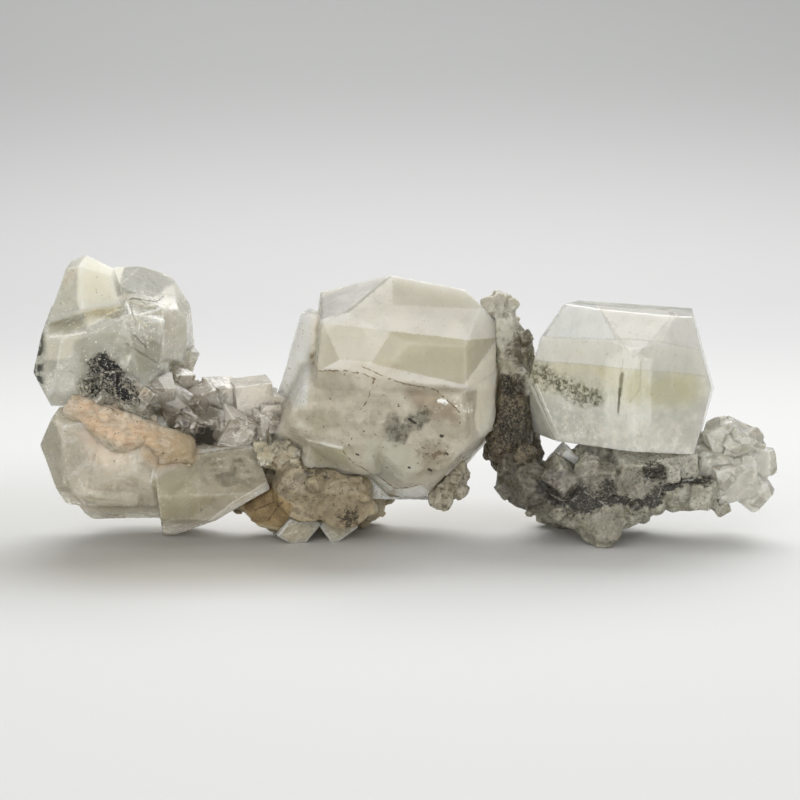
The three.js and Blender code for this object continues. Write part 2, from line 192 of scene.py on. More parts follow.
def edge_points(form, convex):
    """Points along the outer edges of a form, or along its inner ones."""
    places = []
    for edge in form.edges:
        if len(edge.link_faces) != 2 or edge.calc_face_angle(0) < SHARP or edge.is_convex != convex:
            continue
        start, end = (point.co for point in edge.verts)
        steps = max(1, round((end - start).length / (EDGE_SPACING * MM)))
        places += [start.lerp(end, step / steps) for step in range(steps + 1)]
    tree = KDTree(len(places))
    for number, place in enumerate(places):
        tree.insert(place, number)
    tree.balance()
    return tree


def mark_edges(form, solid):
    for name, convex in (("ridge", True), ("seam", False)):
        tree = edge_points(solid, convex)
        layer = memory(form, name)
        for point in form.verts:
            distance = tree.find(point.co)[2]
            if distance is not None:
                point[layer] = math.exp(-((distance / (EDGE_REACH * MM)) ** 2))


# %% Measure how far every point stands out from its neighbours
BEND_FULL = 0.3


def mark_bends(form, rounds=2):
    """The same two marks for a form with no tidy edges: a point out from its neighbours is a ridge."""
    form.normal_update()
    bends = []
    for point in form.verts:
        others = [edge.other_vert(point).co for edge in point.link_edges]
        middle = sum(others, Vector()) / len(others)
        reach = sum((other - point.co).length for other in others) / len(others)
        bends.append((middle - point.co).dot(point.normal) / reach if reach else 0.0)
    form.verts.index_update()
    for turn in range(rounds):
        around = [[edge.other_vert(point).index for edge in point.link_edges] for point in form.verts]
        bends = [
            bend * 0.5 + 0.5 * sum(bends[number] for number in others) / len(others)
            for bend, others in zip(bends, around)
        ]
    for name, sign in (("ridge", -1), ("seam", 1)):
        layer = memory(form, name)
        for point, bend in zip(form.verts, bends):
            point[layer] = min(1.0, max(0.0, sign * bend / BEND_FULL))


# %% [markdown]
# ## Chips and grains
# Broken stone and druse are the same at heart: many small flat faces that lean every way. One
# way to make them is to push points by noise, but that gives soft lumps. Here space is cut into
# cells, and inside each cell the surface leans like a small plane, which leaves flat chips with
# steps between them. Loose grains are small cubes with cut corners, sunk into the skin.


# %% Flat chips that lean every way
USUAL_HEIGHT = 0.35
LEAN_SPREAD = 3.7


def chip_height(place, size, slope):
    """How far the chip at this place stands out, in mm."""
    nearest, centres = noise.voronoi(place / size)
    lean = noise.noise_vector(centres[0] * LEAN_SPREAD)
    return (place / size - centres[0]).dot(lean) * size * slope


def chip(form, scales, where=None):
    """Push every point out along its normal by the chips of each scale."""
    form.normal_update()
    relief = memory(form, "relief")
    tallest = sum(size * slope for size, slope in scales) * USUAL_HEIGHT
    moves = []
    for point in form.verts:
        place = point.co / MM
        height = sum(chip_height(place, size, slope) for size, slope in scales)
        share = where(place) if where else 1.0
        point[relief] = height / tallest * share
        moves.append(point.normal * height * share * MM)
    for point, move in zip(form.verts, moves):
        point.co += move


# %% Round lobes or blocky crystals, added before a form is resampled
BLOCK_EDGE = 1.7
FULL_TURN = 6.3
SIDE_SQUASH = (0.7, 1.3)
TOP_SQUASH = (0.6, 1.0)
CORNER_CUT = (0.2, 0.5)


def cut_corners(form, corners, depth):
    bmesh.ops.bevel(
        form, geom=corners, offset=depth, affect="VERTICES", segments=1, profile=0.5, material=-1
    )


def add_lumps(form, count, sizes, seed, sink=0.5, where=None, boxy=False):
    """Sinks lumps of random size and lean into the form's faces."""
    dice = random.Random(seed)
    form.normal_update()
    faces = list(form.faces)
    areas = [face.calc_area() for face in faces]
    spots = []
    while len(spots) < count:
        face = dice.choices(faces, areas)[0]
        corners = [corner.co for corner in face.verts]
        shares = [dice.random() for corner in corners]
        place = sum((corner * share for corner, share in zip(corners, shares)), Vector()) / sum(shares)
        if where is None or where(place / MM):
            spots.append((place, face.normal.copy()))
    for place, normal in spots:
        radius = dice.uniform(*sizes) * MM
        squash = [dice.uniform(*between) for between in (SIDE_SQUASH, SIDE_SQUASH, TOP_SQUASH)]
        turn = Euler([dice.uniform(0, FULL_TURN) for axis in range(3)]).to_matrix().to_4x4()
        spot = Matrix.Translation(place - normal * radius * sink) @ turn @ Matrix.Diagonal(squash + [1])
        if boxy:
            corners = bmesh.ops.create_cube(form, size=radius * BLOCK_EDGE, matrix=spot)["verts"]
            cut_corners(form, corners, radius * dice.uniform(*CORNER_CUT))
        else:
            bmesh.ops.create_icosphere(form, subdivisions=2, radius=radius, matrix=spot)


# %% One grain: a cube with cut corners
GRAIN_CUT = 0.24


def grain_mesh():
    form = bmesh.new()
    bmesh.ops.create_cube(form, size=1.0)
    cut_corners(form, form.verts, GRAIN_CUT)
    mesh = bpy.data.meshes.new("grain")
    form.to_mesh(mesh)
    form.free()
    return mesh


GRAIN = grain_mesh()


# %% Sink grains into a skin
GRAIN_LEAN = 0.2
GRAIN_SINK = 0.1
GRAIN_STRETCH = (0.75, 1.25)
GRAIN_RELIEF = 0.5
MOST_TRIES = 40


def add_grains(form, count, sizes, seed, where):
    """Random cut-cornered cubes on the form, leaning a little off its surface."""
    dice = random.Random(seed)
    form.normal_update()
    form.faces.ensure_lookup_table()
    total = len(form.faces)
    tint = memory(form, "tint")
    relief = memory(form, "relief")
    heap = bmesh.new()
    tints = []
    tries = 0
    while len(tints) < count and tries < MOST_TRIES * count:
        tries += 1
        face = form.faces[dice.randrange(total)]
        centre = face.calc_center_median()
        if not where(centre / MM):
            continue
        size = dice.uniform(*sizes) * MM
        lean = Vector([dice.uniform(-1, 1) for axis in range(3)])
        up = (face.normal + lean * GRAIN_LEAN).normalized()
        upright = up.to_track_quat("Z", "Y").to_matrix().to_4x4()
        spin = Matrix.Rotation(dice.uniform(0, FULL_TURN), 4, "Z")
        stretch = Matrix.Diagonal([size * dice.uniform(*GRAIN_STRETCH) for axis in range(3)] + [1])
        before = len(heap.verts)
        heap.from_mesh(GRAIN)
        heap.verts.ensure_lookup_table()
        spot = Matrix.Translation(centre - face.normal * size * GRAIN_SINK)
        bmesh.ops.transform(heap, matrix=spot @ upright @ spin @ stretch, verts=heap.verts[before:])
        tints.append(dice.random())
    mesh = bpy.data.meshes.new("heap")
    heap.to_mesh(mesh)
    heap.free()
    old = len(form.verts)
    form.from_mesh(mesh)
    form.verts.ensure_lookup_table()
    each = len(GRAIN.vertices)
    for number, point in enumerate(form.verts[old:]):
        point[tint] = tints[number // each] * 2 - 1
        point[relief] = GRAIN_RELIEF
    bpy.data.meshes.remove(mesh)


print("faces of a grain:", len(GRAIN.polygons))

# %% [markdown]
# ## Shader helpers
# A finish is a sum of masks: where the stone is milky, stained, specked or dark. Written as
# nodes and links such sums are hard to read, so one small class lets a socket be used in
# ordinary arithmetic, and another makes any node in one line.


# %% A colour as it looks on screen
def tone(red, green, blue):
    """A colour given as it looks on screen, 0 to 255, turned to the linear light nodes use."""
    return tuple(((value / 255 + 0.055) / 1.055) ** 2.4 for value in (red, green, blue)) + (1.0,)


print("a mid grey in linear light:", round(tone(128, 128, 128)[0], 3))


# %% Arithmetic on sockets
class Wire:
    """A node's output that takes part in sums like a number."""

    def __init__(self, paint, socket):
        self.paint = paint
        self.socket = socket

    def _maths(self, operation, first, second):
        return self.paint.node("ShaderNodeMath", {"operation": operation}, {0: first, 1: second})

    def __add__(self, other):
        return self._maths("ADD", self, other)

    __radd__ = __add__

    def __sub__(self, other):
        return self._maths("SUBTRACT", self, other)

    def __rsub__(self, other):
        return self._maths("SUBTRACT", other, self)

    def __mul__(self, other):
        return self._maths("MULTIPLY", self, other)

    __rmul__ = __mul__

    def __pow__(self, other):
        return self._maths("POWER", self, other)

    def __or__(self, other):
        """The larger of two masks."""
        return self._maths("MAXIMUM", self, other)

    def rise(self, low, high, bottom=0.0, top=1.0):
        """Eases from bottom to top as the value goes from low to high."""
        return self.paint.node(
            "ShaderNodeMapRange",
            {"interpolation_type": "SMOOTHSTEP"},
            {"Value": self, "From Min": low, "From Max": high, "To Min": bottom, "To Max": top},
        )


def any_of(masks):
    """The largest of several masks."""
    largest, *others = masks
    for mask in others:
        largest = largest | mask
    return largest


# %% A material being painted
PATCH_SOFT = 0.6


class Paint:
    """A material and the nodes that make its patterns, all in millimetres on the piece."""

    def __init__(self, name):
        self.material = bpy.data.materials.new(name)
        self.material.use_nodes = True
        self.tree = self.material.node_tree
        self.tree.nodes.clear()
        spot = self.node("ShaderNodeTexCoord", output="Object")
        self.place = self.vector("SCALE", spot, Scale=1 / MM)
        self.x, self.y, self.z = (
            self.node("ShaderNodeSeparateXYZ", sockets={0: self.place}, output=axis) for axis in "XYZ"
        )
        self.made = {}
        self.coarse = 1.0
        self.grit = 0.0
        self.uneven = self.wobbled(0.5, 0.5)
        self.ragged = self.wobbled(1.7, 3.0)

    def wobbled(self, size, reach):
        """The place, pushed about by soft noise of that size, up to half that reach each way."""
        sockets = {"Vector": self.place, "Scale": 1 / size, "Detail": 4}
        clouds = self.node("ShaderNodeTexNoise", sockets=sockets, output="Color")
        push = self.vector("SCALE", self.vector("SUBTRACT", clouds, (0.5, 0.5, 0.5)), Scale=reach)
        return self.vector("ADD", self.place, push)

    def node(self, kind, settings=None, sockets=None, output=0):
        made = self.tree.nodes.new(kind)
        for name, value in (settings or {}).items():
            setattr(made, name, value)
        for name, value in (sockets or {}).items():
            socket = self.pick(made.inputs, name)
            if isinstance(value, Wire):
                self.tree.links.new(value.socket, socket)
            else:
                socket.default_value = value
        return Wire(self, self.pick(made.outputs, output)) if len(made.outputs) else made

    def pick(self, sockets, name):
        """The socket with that number, or the one in use with that name."""
        if isinstance(name, int):
            return sockets[name]
        return next(socket for socket in sockets if socket.name == name and socket.enabled)

    def vector(self, operation, first, second=None, **more):
        sockets = {0: first, **more}
        if second is not None:
            sockets[1] = second
        output = "Value" if operation in ("DISTANCE", "LENGTH", "DOT_PRODUCT") else "Vector"
        return self.node("ShaderNodeVectorMath", {"operation": operation}, sockets, output)

    def mark(self, name):
        """What the points of the mesh remember under that name."""
        return self.node("ShaderNodeAttribute", {"attribute_name": name}, output="Fac")

    def noise(self, size, detail=4, sharpness=0.5, shift=0.0, stretch=(1, 1, 1)):
        """Soft clouds of the given size."""
        place = self.vector("MULTIPLY", self.place, stretch)
        place = self.vector("ADD", place, (shift, 2 * shift, 3 * shift))
        return self.node(
            "ShaderNodeTexNoise",
            sockets={"Vector": place, "Scale": 1 / size, "Detail": detail, "Roughness": sharpness},
        )

    def cells(self, size, feature="F1", output="Distance", shift=0.0, place=None):
        """Grains of the given size."""
        key = (size, feature, shift, place)
        if key not in self.made:
            moved = self.vector("ADD", place or self.place, (shift, 2 * shift, 3 * shift))
            self.made[key] = self.node(
                "ShaderNodeTexVoronoi", {"feature": feature}, {"Vector": moved, "Scale": 1 / size}, output
            ).socket.node
        return Wire(self, self.made[key].outputs[output])

    def lots(self, size, shift=0.0, place=None):
        """A number drawn for each grain, from 0 to 1."""
        colours = self.cells(size, output="Color", shift=shift, place=place)
        return self.node("ShaderNodeSeparateColor", sockets={0: colours})

    def near(self, point, radius, stretch=(1, 1, 1)):
        """A ragged patch round a point; stretch squashes the distance along each axis."""
        apart = self.vector("SUBTRACT", self.ragged, point)
        reach = self.vector("LENGTH", self.vector("MULTIPLY", apart, stretch))
        return reach.rise(radius * (1 - PATCH_SOFT), radius * (1 + PATCH_SOFT), 1.0, 0.0)

    def patch(self, corners, soft=0.12, place=None):
        """A straight-sided patch, given by its corners (x, z) as they are met going round."""
        place = place or self.uneven
        middle = [sum(values) / len(corners) for values in zip(*corners)]
        mask = None
        for (x, z), (next_x, next_z) in zip(corners, corners[1:] + corners[:1]):
            outward = Vector((next_z - z, 0, x - next_x)).normalized()
            if outward.x * (middle[0] - x) + outward.z * (middle[1] - z) > 0:
                outward.negate()
            reach = outward.x * x + outward.z * z
            across = self.vector("DOT_PRODUCT", place, tuple(outward))
            side = across.rise(reach - soft, reach + soft, 1.0, 0.0)
            mask = side if mask is None else mask * side
        return mask

    def line(self, start, end, width, place=None):
        """A streak between two points (x, z)."""
        along = Vector((end[0] - start[0], 0, end[1] - start[1]))
        apart = self.vector("SUBTRACT", place or self.uneven, (start[0], 0, start[1]))
        apart = self.vector("MULTIPLY", apart, (1, 0, 1))
        share = self.vector("DOT_PRODUCT", apart, tuple(along / along.length_squared))
        share = self.node("ShaderNodeClamp", sockets={0: share})
        foot = self.vector("SCALE", tuple(along), Scale=share)
        return self.vector("DISTANCE", apart, foot).rise(width * 0.3, width, 1.0, 0.0)

    def lines(self, points, width, place=None):
        """A streak through several points."""
        return any_of(self.line(start, end, width, place) for start, end in zip(points, points[1:]))

    def strokes(self, width, *lines):
        """Several streaks of one width."""
        return any_of(self.lines(points, width) for points in lines)

    def spots(self, *rows):
        """Several ragged patches; each row holds what near needs."""
        return any_of(self.near(*row) for row in rows)

    def pits(self, size, share, shift=0.0):
        """Small ragged spots, few when share is near 1."""
        spots = self.noise(size, detail=2, shift=shift)
        return spots.rise(0.5 + share * 0.2, 0.54 + share * 0.2)

    def cleavage(self, width, share, shift=0.0, turn=0.5):
        """Fine straight flaws that run one way, kept only here and there."""
        turned = self.node(
            "ShaderNodeVectorRotate", {"rotation_type": "Y_AXIS"}, {"Vector": self.place, "Angle": turn}
        )
        drawn = self.vector("MULTIPLY", turned, (0.12, 0.3, 1.0))
        bands = self.node("ShaderNodeTexNoise", sockets={"Vector": drawn, "Scale": 0.9, "Detail": 3})
        kept = self.noise(3, detail=3, shift=shift + 4).rise(0.6 - share, 0.7 - share)
        from_middle = self.node("ShaderNodeMath", {"operation": "ABSOLUTE"}, {0: bands - 0.5})
        return from_middle.rise(0.0, width * 0.12, 1.0, 0.0) * kept

    def blend(self, colour, other, share):
        """One colour over another where share is high; three numbers are a colour as on screen."""
        below, above = (
            tone(*one) if isinstance(one, tuple) and len(one) == 3 else one for one in (colour, other)
        )
        return self.node(
            "ShaderNodeMix", {"data_type": "RGBA"}, {"Factor": share, "A": below, "B": above}, "Result"
        )

    def coats(self, colour, *coats):
        """Colours laid one over another, each with its share."""
        for other, share in coats:
            colour = self.blend(colour, other, share)
        return colour

    def bump(self, height, depth):
        """The normal of a skin whose height changes by so many mm."""
        sockets = {"Height": height, "Distance": depth * MM}
        return self.node("ShaderNodeBump", sockets=sockets, output="Normal")

    def stone(self, **sockets):
        named = {name.replace("_", " "): value for name, value in sockets.items()}
        return self.node("ShaderNodeBsdfPrincipled", sockets=named)

    def mixed(self, share, first, second):
        return self.node("ShaderNodeMixShader", sockets={0: share, 1: first, 2: second})

    def finish(self, surface, volume=None):
        sockets = {"Surface": surface}
        if volume:
            sockets["Volume"] = volume
        self.node("ShaderNodeOutputMaterial", sockets=sockets)
        return self.material


# %% [markdown]
# ## The studio
# The stone stands in a light tent: a pale floor that sweeps up behind it without a corner, a
# wide soft lamp overhead, and even light from all sides. Clear stone shows what is behind and
# around it, so a plain bright tent is what makes it look clear. The paper's colour holds painted
# shade: it is painted darker further back and higher up, so the picture darkens towards its
# top, and painted shadows lie on the floor round the stone. The sweep is one edge that is
# extruded, spun through a quarter turn and extruded again.

# %% The sweep
FLOOR_HALF_WIDTH = 900 * MM
FLOOR_FRONT = -900 * MM
SWEEP_START = 320 * MM
SWEEP_RADIUS = 260 * MM
SWEEP_TOP = 900 * MM

sweep = bmesh.new()
ends = [sweep.verts.new((side * FLOOR_HALF_WIDTH, FLOOR_FRONT, 0)) for side in (-1, 1)]
edge = [sweep.edges.new(ends)]


def extruded_edge(form, edges, step):
    grown = bmesh.ops.extrude_edge_only(form, edges=edges)["geom"]
    moved = [part for part in grown if isinstance(part, bmesh.types.BMVert)]
    bmesh.ops.translate(form, verts=moved, vec=step)
    return [part for part in grown if isinstance(part, bmesh.types.BMEdge)]


edge = extruded_edge(sweep, edge, (0, SWEEP_START - FLOOR_FRONT, 0))
turned = bmesh.ops.spin(
    sweep,
    geom=edge + [point for side in edge for point in side.verts],
    cent=(0, SWEEP_START, SWEEP_RADIUS),
    axis=(1, 0, 0),
    angle=math.radians(90),
    steps=24,
)["geom_last"]
edge = [part for part in turned if isinstance(part, bmesh.types.BMEdge)]
extruded_edge(sweep, edge, (0, 0, SWEEP_TOP))
bmesh.ops.recalc_face_normals(sweep, faces=sweep.faces)

# The first colour is the paper's own. The next four are painted shade: a painted shadow to the left of the
# stone, the painted shadows in the table below, and the paper painted darker further back and higher up,
# where the light falls off.
PAPER = (0.70, 0.70, 0.69, 1)
PAPER_SIDE_SHADOW = (0.59, 0.59, 0.57, 1)
PAPER_SHADE = (0.50, 0.48, 0.43, 1)
PAPER_FAR_SHADE = (0.525, 0.525, 0.525, 1)
PAPER_HIGH_SHADE = (0.385, 0.39, 0.385, 1)
# Painted shadows on the floor: centre in mm, stretch along each axis, inner and outer radius in mm, and
# darkness.
PAPER_SHADOWS = (
    ((-31, -22, 0), (1.0, 1.5, 1.0), 6, 42, 0.9),
    ((9, 14, 0), (1.0, 1.2, 1.0), 4, 28, 0.5),
)
paper = Paint("studio_paper")
# Painted shadow: the floor to the left of the stone is painted darker.
side = paper.x.rise(-70, -20, 1.0, 0.0) * paper.y.rise(-75, -30) * paper.y.rise(10, 90, 1.0, 0.0)
paper_colour_and_shade = paper.blend(PAPER, PAPER_SIDE_SHADOW, side)
for centre, stretch, inner, outer, share in PAPER_SHADOWS:
    apart = paper.vector("MULTIPLY", paper.vector("SUBTRACT", paper.place, centre), stretch)
    shade = paper.vector("LENGTH", apart).rise(inner, outer, share, 0.0)
    paper_colour_and_shade = paper.blend(paper_colour_and_shade, PAPER_SHADE, shade)
# Painted shade: further back and higher up the paper is painted darker, where the light falls off.
paper_colour_and_shade = paper.blend(paper_colour_and_shade, PAPER_FAR_SHADE, paper.y.rise(40, 280))
paper_colour_and_shade = paper.blend(paper_colour_and_shade, PAPER_HIGH_SHADE, paper.z.rise(2, 66))
paper_finish = paper.finish(paper.stone(Base_Color=paper_colour_and_shade, Roughness=0.7))

sweep_mesh = bpy.data.meshes.new("studio_sweep")
sweep.to_mesh(sweep_mesh)
sweep_mesh.shade_smooth()
sweep_mesh.materials.append(paper_finish)
studio = bpy.data.objects.new("studio_sweep", sweep_mesh)
bpy.context.scene.collection.objects.link(studio)
print("sweep faces:", len(sweep.faces))
sweep.free()


# %% The lamps and the light of the tent
LAMPS = (
    ("lamp_behind", (0.05, 0.31, 0.38), (0, 0, 0.0), (0.5, 0.36), 2.2),
    ("lamp_front", (-0.10, -0.75, 0.30), (0, 0, 0.02), (0.6, 0.3), 2.3),
)


def add_lamp(name, place, aim, size, power):
    """A soft lamp: where it hangs, what it points at and its two sides, in metres, and its watts."""
    light = bpy.data.lights.new(name, "AREA")
    light.shape = "RECTANGLE"
    light.size, light.size_y = size
    light.energy = power
    lamp = bpy.data.objects.new(name, light)
    lamp.location = place
    lamp.rotation_euler = (Vector(aim) - Vector(place)).to_track_quat("-Z", "Y").to_euler()
    bpy.context.scene.collection.objects.link(lamp)


for lamp in LAMPS:
    add_lamp(*lamp)

TENT_COLOUR = (1, 1, 0.995, 1)
TENT_STRENGTH = 0.6
tent = bpy.data.worlds.new("tent")
tent.use_nodes = True
tent.node_tree.nodes["Background"].inputs["Color"].default_value = TENT_COLOUR
tent.node_tree.nodes["Background"].inputs["Strength"].default_value = TENT_STRENGTH
bpy.context.scene.world = tent
bpy.context.scene.view_settings.view_transform = "Standard"

# %% [markdown]
# ## The clear crystals
# Apophyllite grows as glassy blocks. Their faces are flat and bright but their inside holds
# veils and haze, and their colour comes from depth, so the finish mixes two stones: a clear one
# that light crosses, tinted by how much of it the light goes through, and a milky one that
# scatters light just under the skin. A mask says how much of each there is at every point.


# %% A crystal's finish
class Look:
    """What a crystal's skin is like from point to point, changed step by step by masks."""

    def __init__(self, paint, colour, milk, shine, height):
        self.paint, self.colour, self.milk, self.shine, self.height = paint, colour, milk, shine, height

    def lay(self, mask, colour=None, milk=None, shine=None):
        """Where the mask is high, moves the skin towards the values given."""
        if colour:
            self.colour = self.paint.blend(self.colour, colour, mask)
        if milk is not None:
            self.milk = self.milk + (milk - self.milk) * mask
        if shine is not None:
            self.shine = self.shine + (shine - self.shine) * mask

    def lay_zones(self, where, share, soft, *zones):
        """Each zone: the corners of a straight-sided patch, its colour and how milky it is."""
        for corners, colour, milk in zones:
            self.lay(self.paint.patch(corners, soft) * where * share, colour, milk)

    def lay_pair(self, pattern, light, dark, where=None):
        """Light marks where a pattern is high and dark ones where it is low."""
        for low, high, share, *values in (light, dark):
            mask = pattern.rise(low, high)
            self.lay((mask if where is None else mask * where) * share, *values)


CRYSTAL_IOR = 1.535
CLEAR_TINT = (0.98, 0.98, 0.95, 1)
CRYSTAL_SCATTER = (1.0, 0.94, 0.82)
MILKY_GLOSS = 0.3
MILKY_ROUGHER = 0.12
EDGE_CHIPS_AND_HIGHLIGHT = (232, 229, 218)
CRYSTAL_BUMP = 0.06


def crystal_finish(
    name, describe, tint, depth_of_tint, scatter=5.0, haze=0.0, ridge=0.5, seam=0.4, dirt=(150, 142, 120)
):
    """haze blurs what shows through; ridge paints the outer edges pale, as chips and painted highlight, and
    seam paints the inner ones towards the colour dirt.
    """
    paint = Paint(name)
    look = describe(paint)
    # Painted highlight and chipping: the outer edges are painted pale here and there.
    worn = paint.mark("ridge") ** 3 * paint.noise(1.1, detail=3, shift=2).rise(0.4, 0.65, ridge * 0.2, ridge)
    look.lay(worn, EDGE_CHIPS_AND_HIGHLIGHT, 0.85, 0.3)
    look.lay(paint.mark("seam") ** 2 * seam, dirt, 0.85, 0.5)
    skin = paint.bump(look.height, CRYSTAL_BUMP)
    clear = paint.stone(
        Base_Color=CLEAR_TINT,
        Transmission_Weight=1.0,
        IOR=CRYSTAL_IOR,
        Roughness=look.shine + haze,
        Normal=skin,
    )
    milky = paint.stone(
        Base_Color=look.colour,
        Subsurface_Weight=1.0,
        Subsurface_Radius=CRYSTAL_SCATTER,
        Subsurface_Scale=scatter * MM,
        IOR=CRYSTAL_IOR,
        Specular_IOR_Level=MILKY_GLOSS,
        Roughness=look.shine + MILKY_ROUGHER,
        Normal=skin,
    )
    inside = paint.node(
        "ShaderNodeVolumeAbsorption",
        sockets={"Color": tone(*tint), "Density": depth_of_tint},
        output="Volume",
    )
    return paint.finish(paint.mixed(look.milk, clear, milky), inside)


def glassy(paint, colour, milk, shine=0.06, shift=0.0):
    """The start of every clear crystal: even haze, small dents and a gloss that varies."""
    haze = paint.noise(5, detail=6, sharpness=0.6, shift=shift).rise(0.35, 0.7, -0.16, 0.16)
    dents = paint.noise(3, detail=2, shift=shift) + paint.noise(0.5, detail=3, shift=shift) * 0.25
    gloss = paint.noise(2, shift=shift).rise(0.4, 0.7, shine, shine + 0.1)
    return Look(paint, colour, haze + milk, gloss, dents)


# %% Cut and mark a crystal's skin
WEAR_ROUNDS = 14


def crystal_skin(node, voxel, broken=None, scales=(), worn=None):
    form = node_copy(node)
    surface = BVHTree.FromBMesh(form)
    skin = resampled(form, voxel)
    settle(skin, surface)
    mark_edges(skin, form)
    if worn:
        soften(skin, WEAR_ROUNDS, worn)
    if broken:
        chip(skin, scales, broken)
    form.free()
    return skin


def ease(value, low, high):
    """0 below low, 1 above high, smooth between."""
    share = min(1.0, max(0.0, (value - low) / (high - low)))
    return share * share * (3 - 2 * share)


# %% [markdown]
# ### The right crystal
# The clearest block: corner faces on top painted bright, a paler belt, a yellowish zone under it
# with a short dark crack, and a spatter of druse that shows through its left side. Each face
# gets its own tone, which holds painted light and shade as well as how milky the face is.

# %% Right crystal
FRONT = -1.5


def front_only(paint):
    return paint.y.rise(FRONT - 1, FRONT + 1, 1.0, 0.0)


def lay_right_dirt(paint, look, front):
    """A spatter of druse shows through the left side, and clouds lie in the lowest part."""
    spatter = paint.lines([(18.4, 26.0), (22.3, 24.6), (24.6, 23.4), (27.0, 22.8)], 2.6, paint.ragged)
    dirt = paint.noise(0.8, detail=8, sharpness=0.8, shift=3) + spatter * 0.07
    look.lay(spatter * dirt.rise(0.48, 0.54) * 0.5, (172, 168, 134), 0.85, 0.3)
    look.lay(spatter * dirt.rise(0.54, 0.59) * 0.85, (84, 80, 56), 1.0, 0.5)
    look.lay(spatter * dirt.rise(0.49, 0.43) * 0.4, (232, 228, 208), 0.95, 0.2)
    look.lay(paint.line((18.7, 24.2), (21.9, 16.9), 0.14) * 0.8, (112, 108, 92), 0.9)
    look.lay(paint.line((19.3, 24.2), (22.4, 16.9), 0.14) * 0.7, (238, 236, 228), 0.9)
    lowest = paint.z.rise(15.5, 21.0, 1.0, 0.0)
    cloud = paint.noise(1.8, detail=6, sharpness=0.7, shift=12).rise(0.45, 0.62)
    look.lay(lowest * 0.4, (222, 217, 198), 0.7)
    look.lay(lowest * cloud * 0.7, (240, 236, 222), 0.85)
    veils = paint.noise(2.2, detail=6, sharpness=0.6, shift=31, stretch=(1.6, 1, 0.5))
    look.lay_pair(
        veils, (0.52, 0.62, 0.14, (238, 236, 226), 0.8), (0.46, 0.36, 0.12, (190, 188, 168), 0.6), front
    )
    left_low = paint.near((25.0, -9, 18.6), 3.4, (0.8, 0.2, 1.0))
    fuzz = paint.noise(0.8, detail=8, sharpness=0.8, shift=5)
    look.lay(left_low * fuzz.rise(0.5, 0.66) * 0.7, (238, 236, 228), 0.9, 0.2)
    look.lay(left_low * fuzz.rise(0.47, 0.36) * 0.7, (130, 124, 104), 0.9, 0.3)
    look.lay(paint.cleavage(0.08, 0.08, shift=6, turn=1.5) * front * 0.15, (244, 242, 236), 0.9, 0.2)
    look.lay(paint.pits(0.35, 0.8, shift=1) * 0.5, (150, 146, 128), 0.9)


def right_look(paint):
    front = front_only(paint)
    look = glassy(paint, (236, 235, 226), 0.56, 0.05)
    # Each zone is one face with its own tone, partly how milky the face is and partly painted light and
    # shade: the corner faces on top are painted bright.
    look.lay_zones(
        front, 0.85, 0.12,
        ([(20.4, 31.2), (24.0, 35.8), (28.3, 35.8), (30.4, 31.3)], (238, 239, 236), 0.7),
        ([(28.3, 35.8), (40.2, 35.4), (32.9, 28.9)], (236, 233, 226), 0.78),
        ([(40.2, 34.4), (42.6, 34.4), (43.4, 29.6), (36.9, 31.0)], (224, 222, 216), 0.7),
        ([(34.1, 28.2), (36.9, 31.0), (44.0, 29.6), (45.0, 25.8), (34.3, 27.0)], (224, 223, 214), 0.7),
        ([(19.0, 31.2), (32.6, 31.3), (34.1, 28.2), (34.3, 27.1), (19.0, 27.5)], (240, 238, 228), 0.68),
    )
    below = paint.patch([(17, 27.5), (26.7, 27.5), (34.3, 27.1), (45, 25.8), (45, 10), (17, 10)])
    yellow = below * paint.z.rise(20.0, 25.5) * paint.x.rise(41.5, 43.5, 1.0, 0.2) * front
    strength = paint.noise(5, detail=3, shift=4).rise(0.3, 0.7, 0.45, 1.0)
    look.lay(yellow * strength, (224, 219, 190), 0.7)
    deep = paint.spots(((38.5, -11, 23.6), 3.6, (0.8, 0.2, 1.5)), ((33.2, -12, 24.6), 1.6, (1.2, 0.2, 0.6)))
    look.lay(deep * front * 0.6, (196, 191, 150), 0.7)
    belt = paint.lines([(19.4, 31.2), (32.8, 31.4), (37.0, 31.0), (43.6, 29.5)], 0.13)
    lower = paint.lines([(19.0, 27.6), (26.7, 27.5), (34.3, 27.1), (43.6, 25.9)], 0.12)
    corner = paint.lines([(28.3, 35.6), (30.6, 31.8), (32.9, 28.9), (36.8, 31.2), (40.3, 34.6)], 0.16)
    look.lay((belt | lower) * front * 0.5, (172, 170, 154), 0.8, 0.3)
    look.lay(corner * front * 0.6, (190, 188, 178), 0.85, 0.3)
    for points, width, share, colour, milk in (
        ([(34.1, 28.2), (34.0, 24.3), (32.5, 22.3)], 0.16, 0.6, (160, 156, 130), 0.9),
        ([(31.5, 28.6), (31.3, 26.6)], 0.14, 0.5, (170, 166, 148), 0.9),
    ):
        look.lay(paint.lines(points, width) * front * share, colour, milk)
    look.lay(paint.line((31.4, 26.4), (31.1, 23.4), 0.42) * front * 0.8, (116, 112, 74), 0.95, 0.4)
    look.lay(paint.line((31.15, 24.2), (30.9, 20.8), 0.26) * front * 0.85, (92, 86, 60), 0.97, 0.4)
    lay_right_dirt(paint, look, front)
    return look


right_finish = crystal_finish("right_crystal", right_look, (230, 229, 216), 18, scatter=4.0, ridge=0.25)
add_piece(crystal_skin("right_crystal", 0.28), "right_crystal", right_finish)

# %% [markdown]
# ### The middle crystal
# Milky cream above, where its faces are whole. A brown crack crosses it, and below the crack it
# is broken: frosted, chipped, stained, with a dark smudge and black dots. Its front faces get
# their own tones: the grey top-left face is painted shade, and the olive band below the top is
# partly its own colour and partly painted shade.

# %% Where the middle crystal is broken
def middle_broken(place):
    """How broken the middle crystal is at a place in mm: its front below the crack."""
    crack = 25.6 - 0.16 * place.x
    return ease(crack - place.z, 0.0, 4.5) * ease(-place.y, -8.0, 2.0) * 0.95 + 0.02


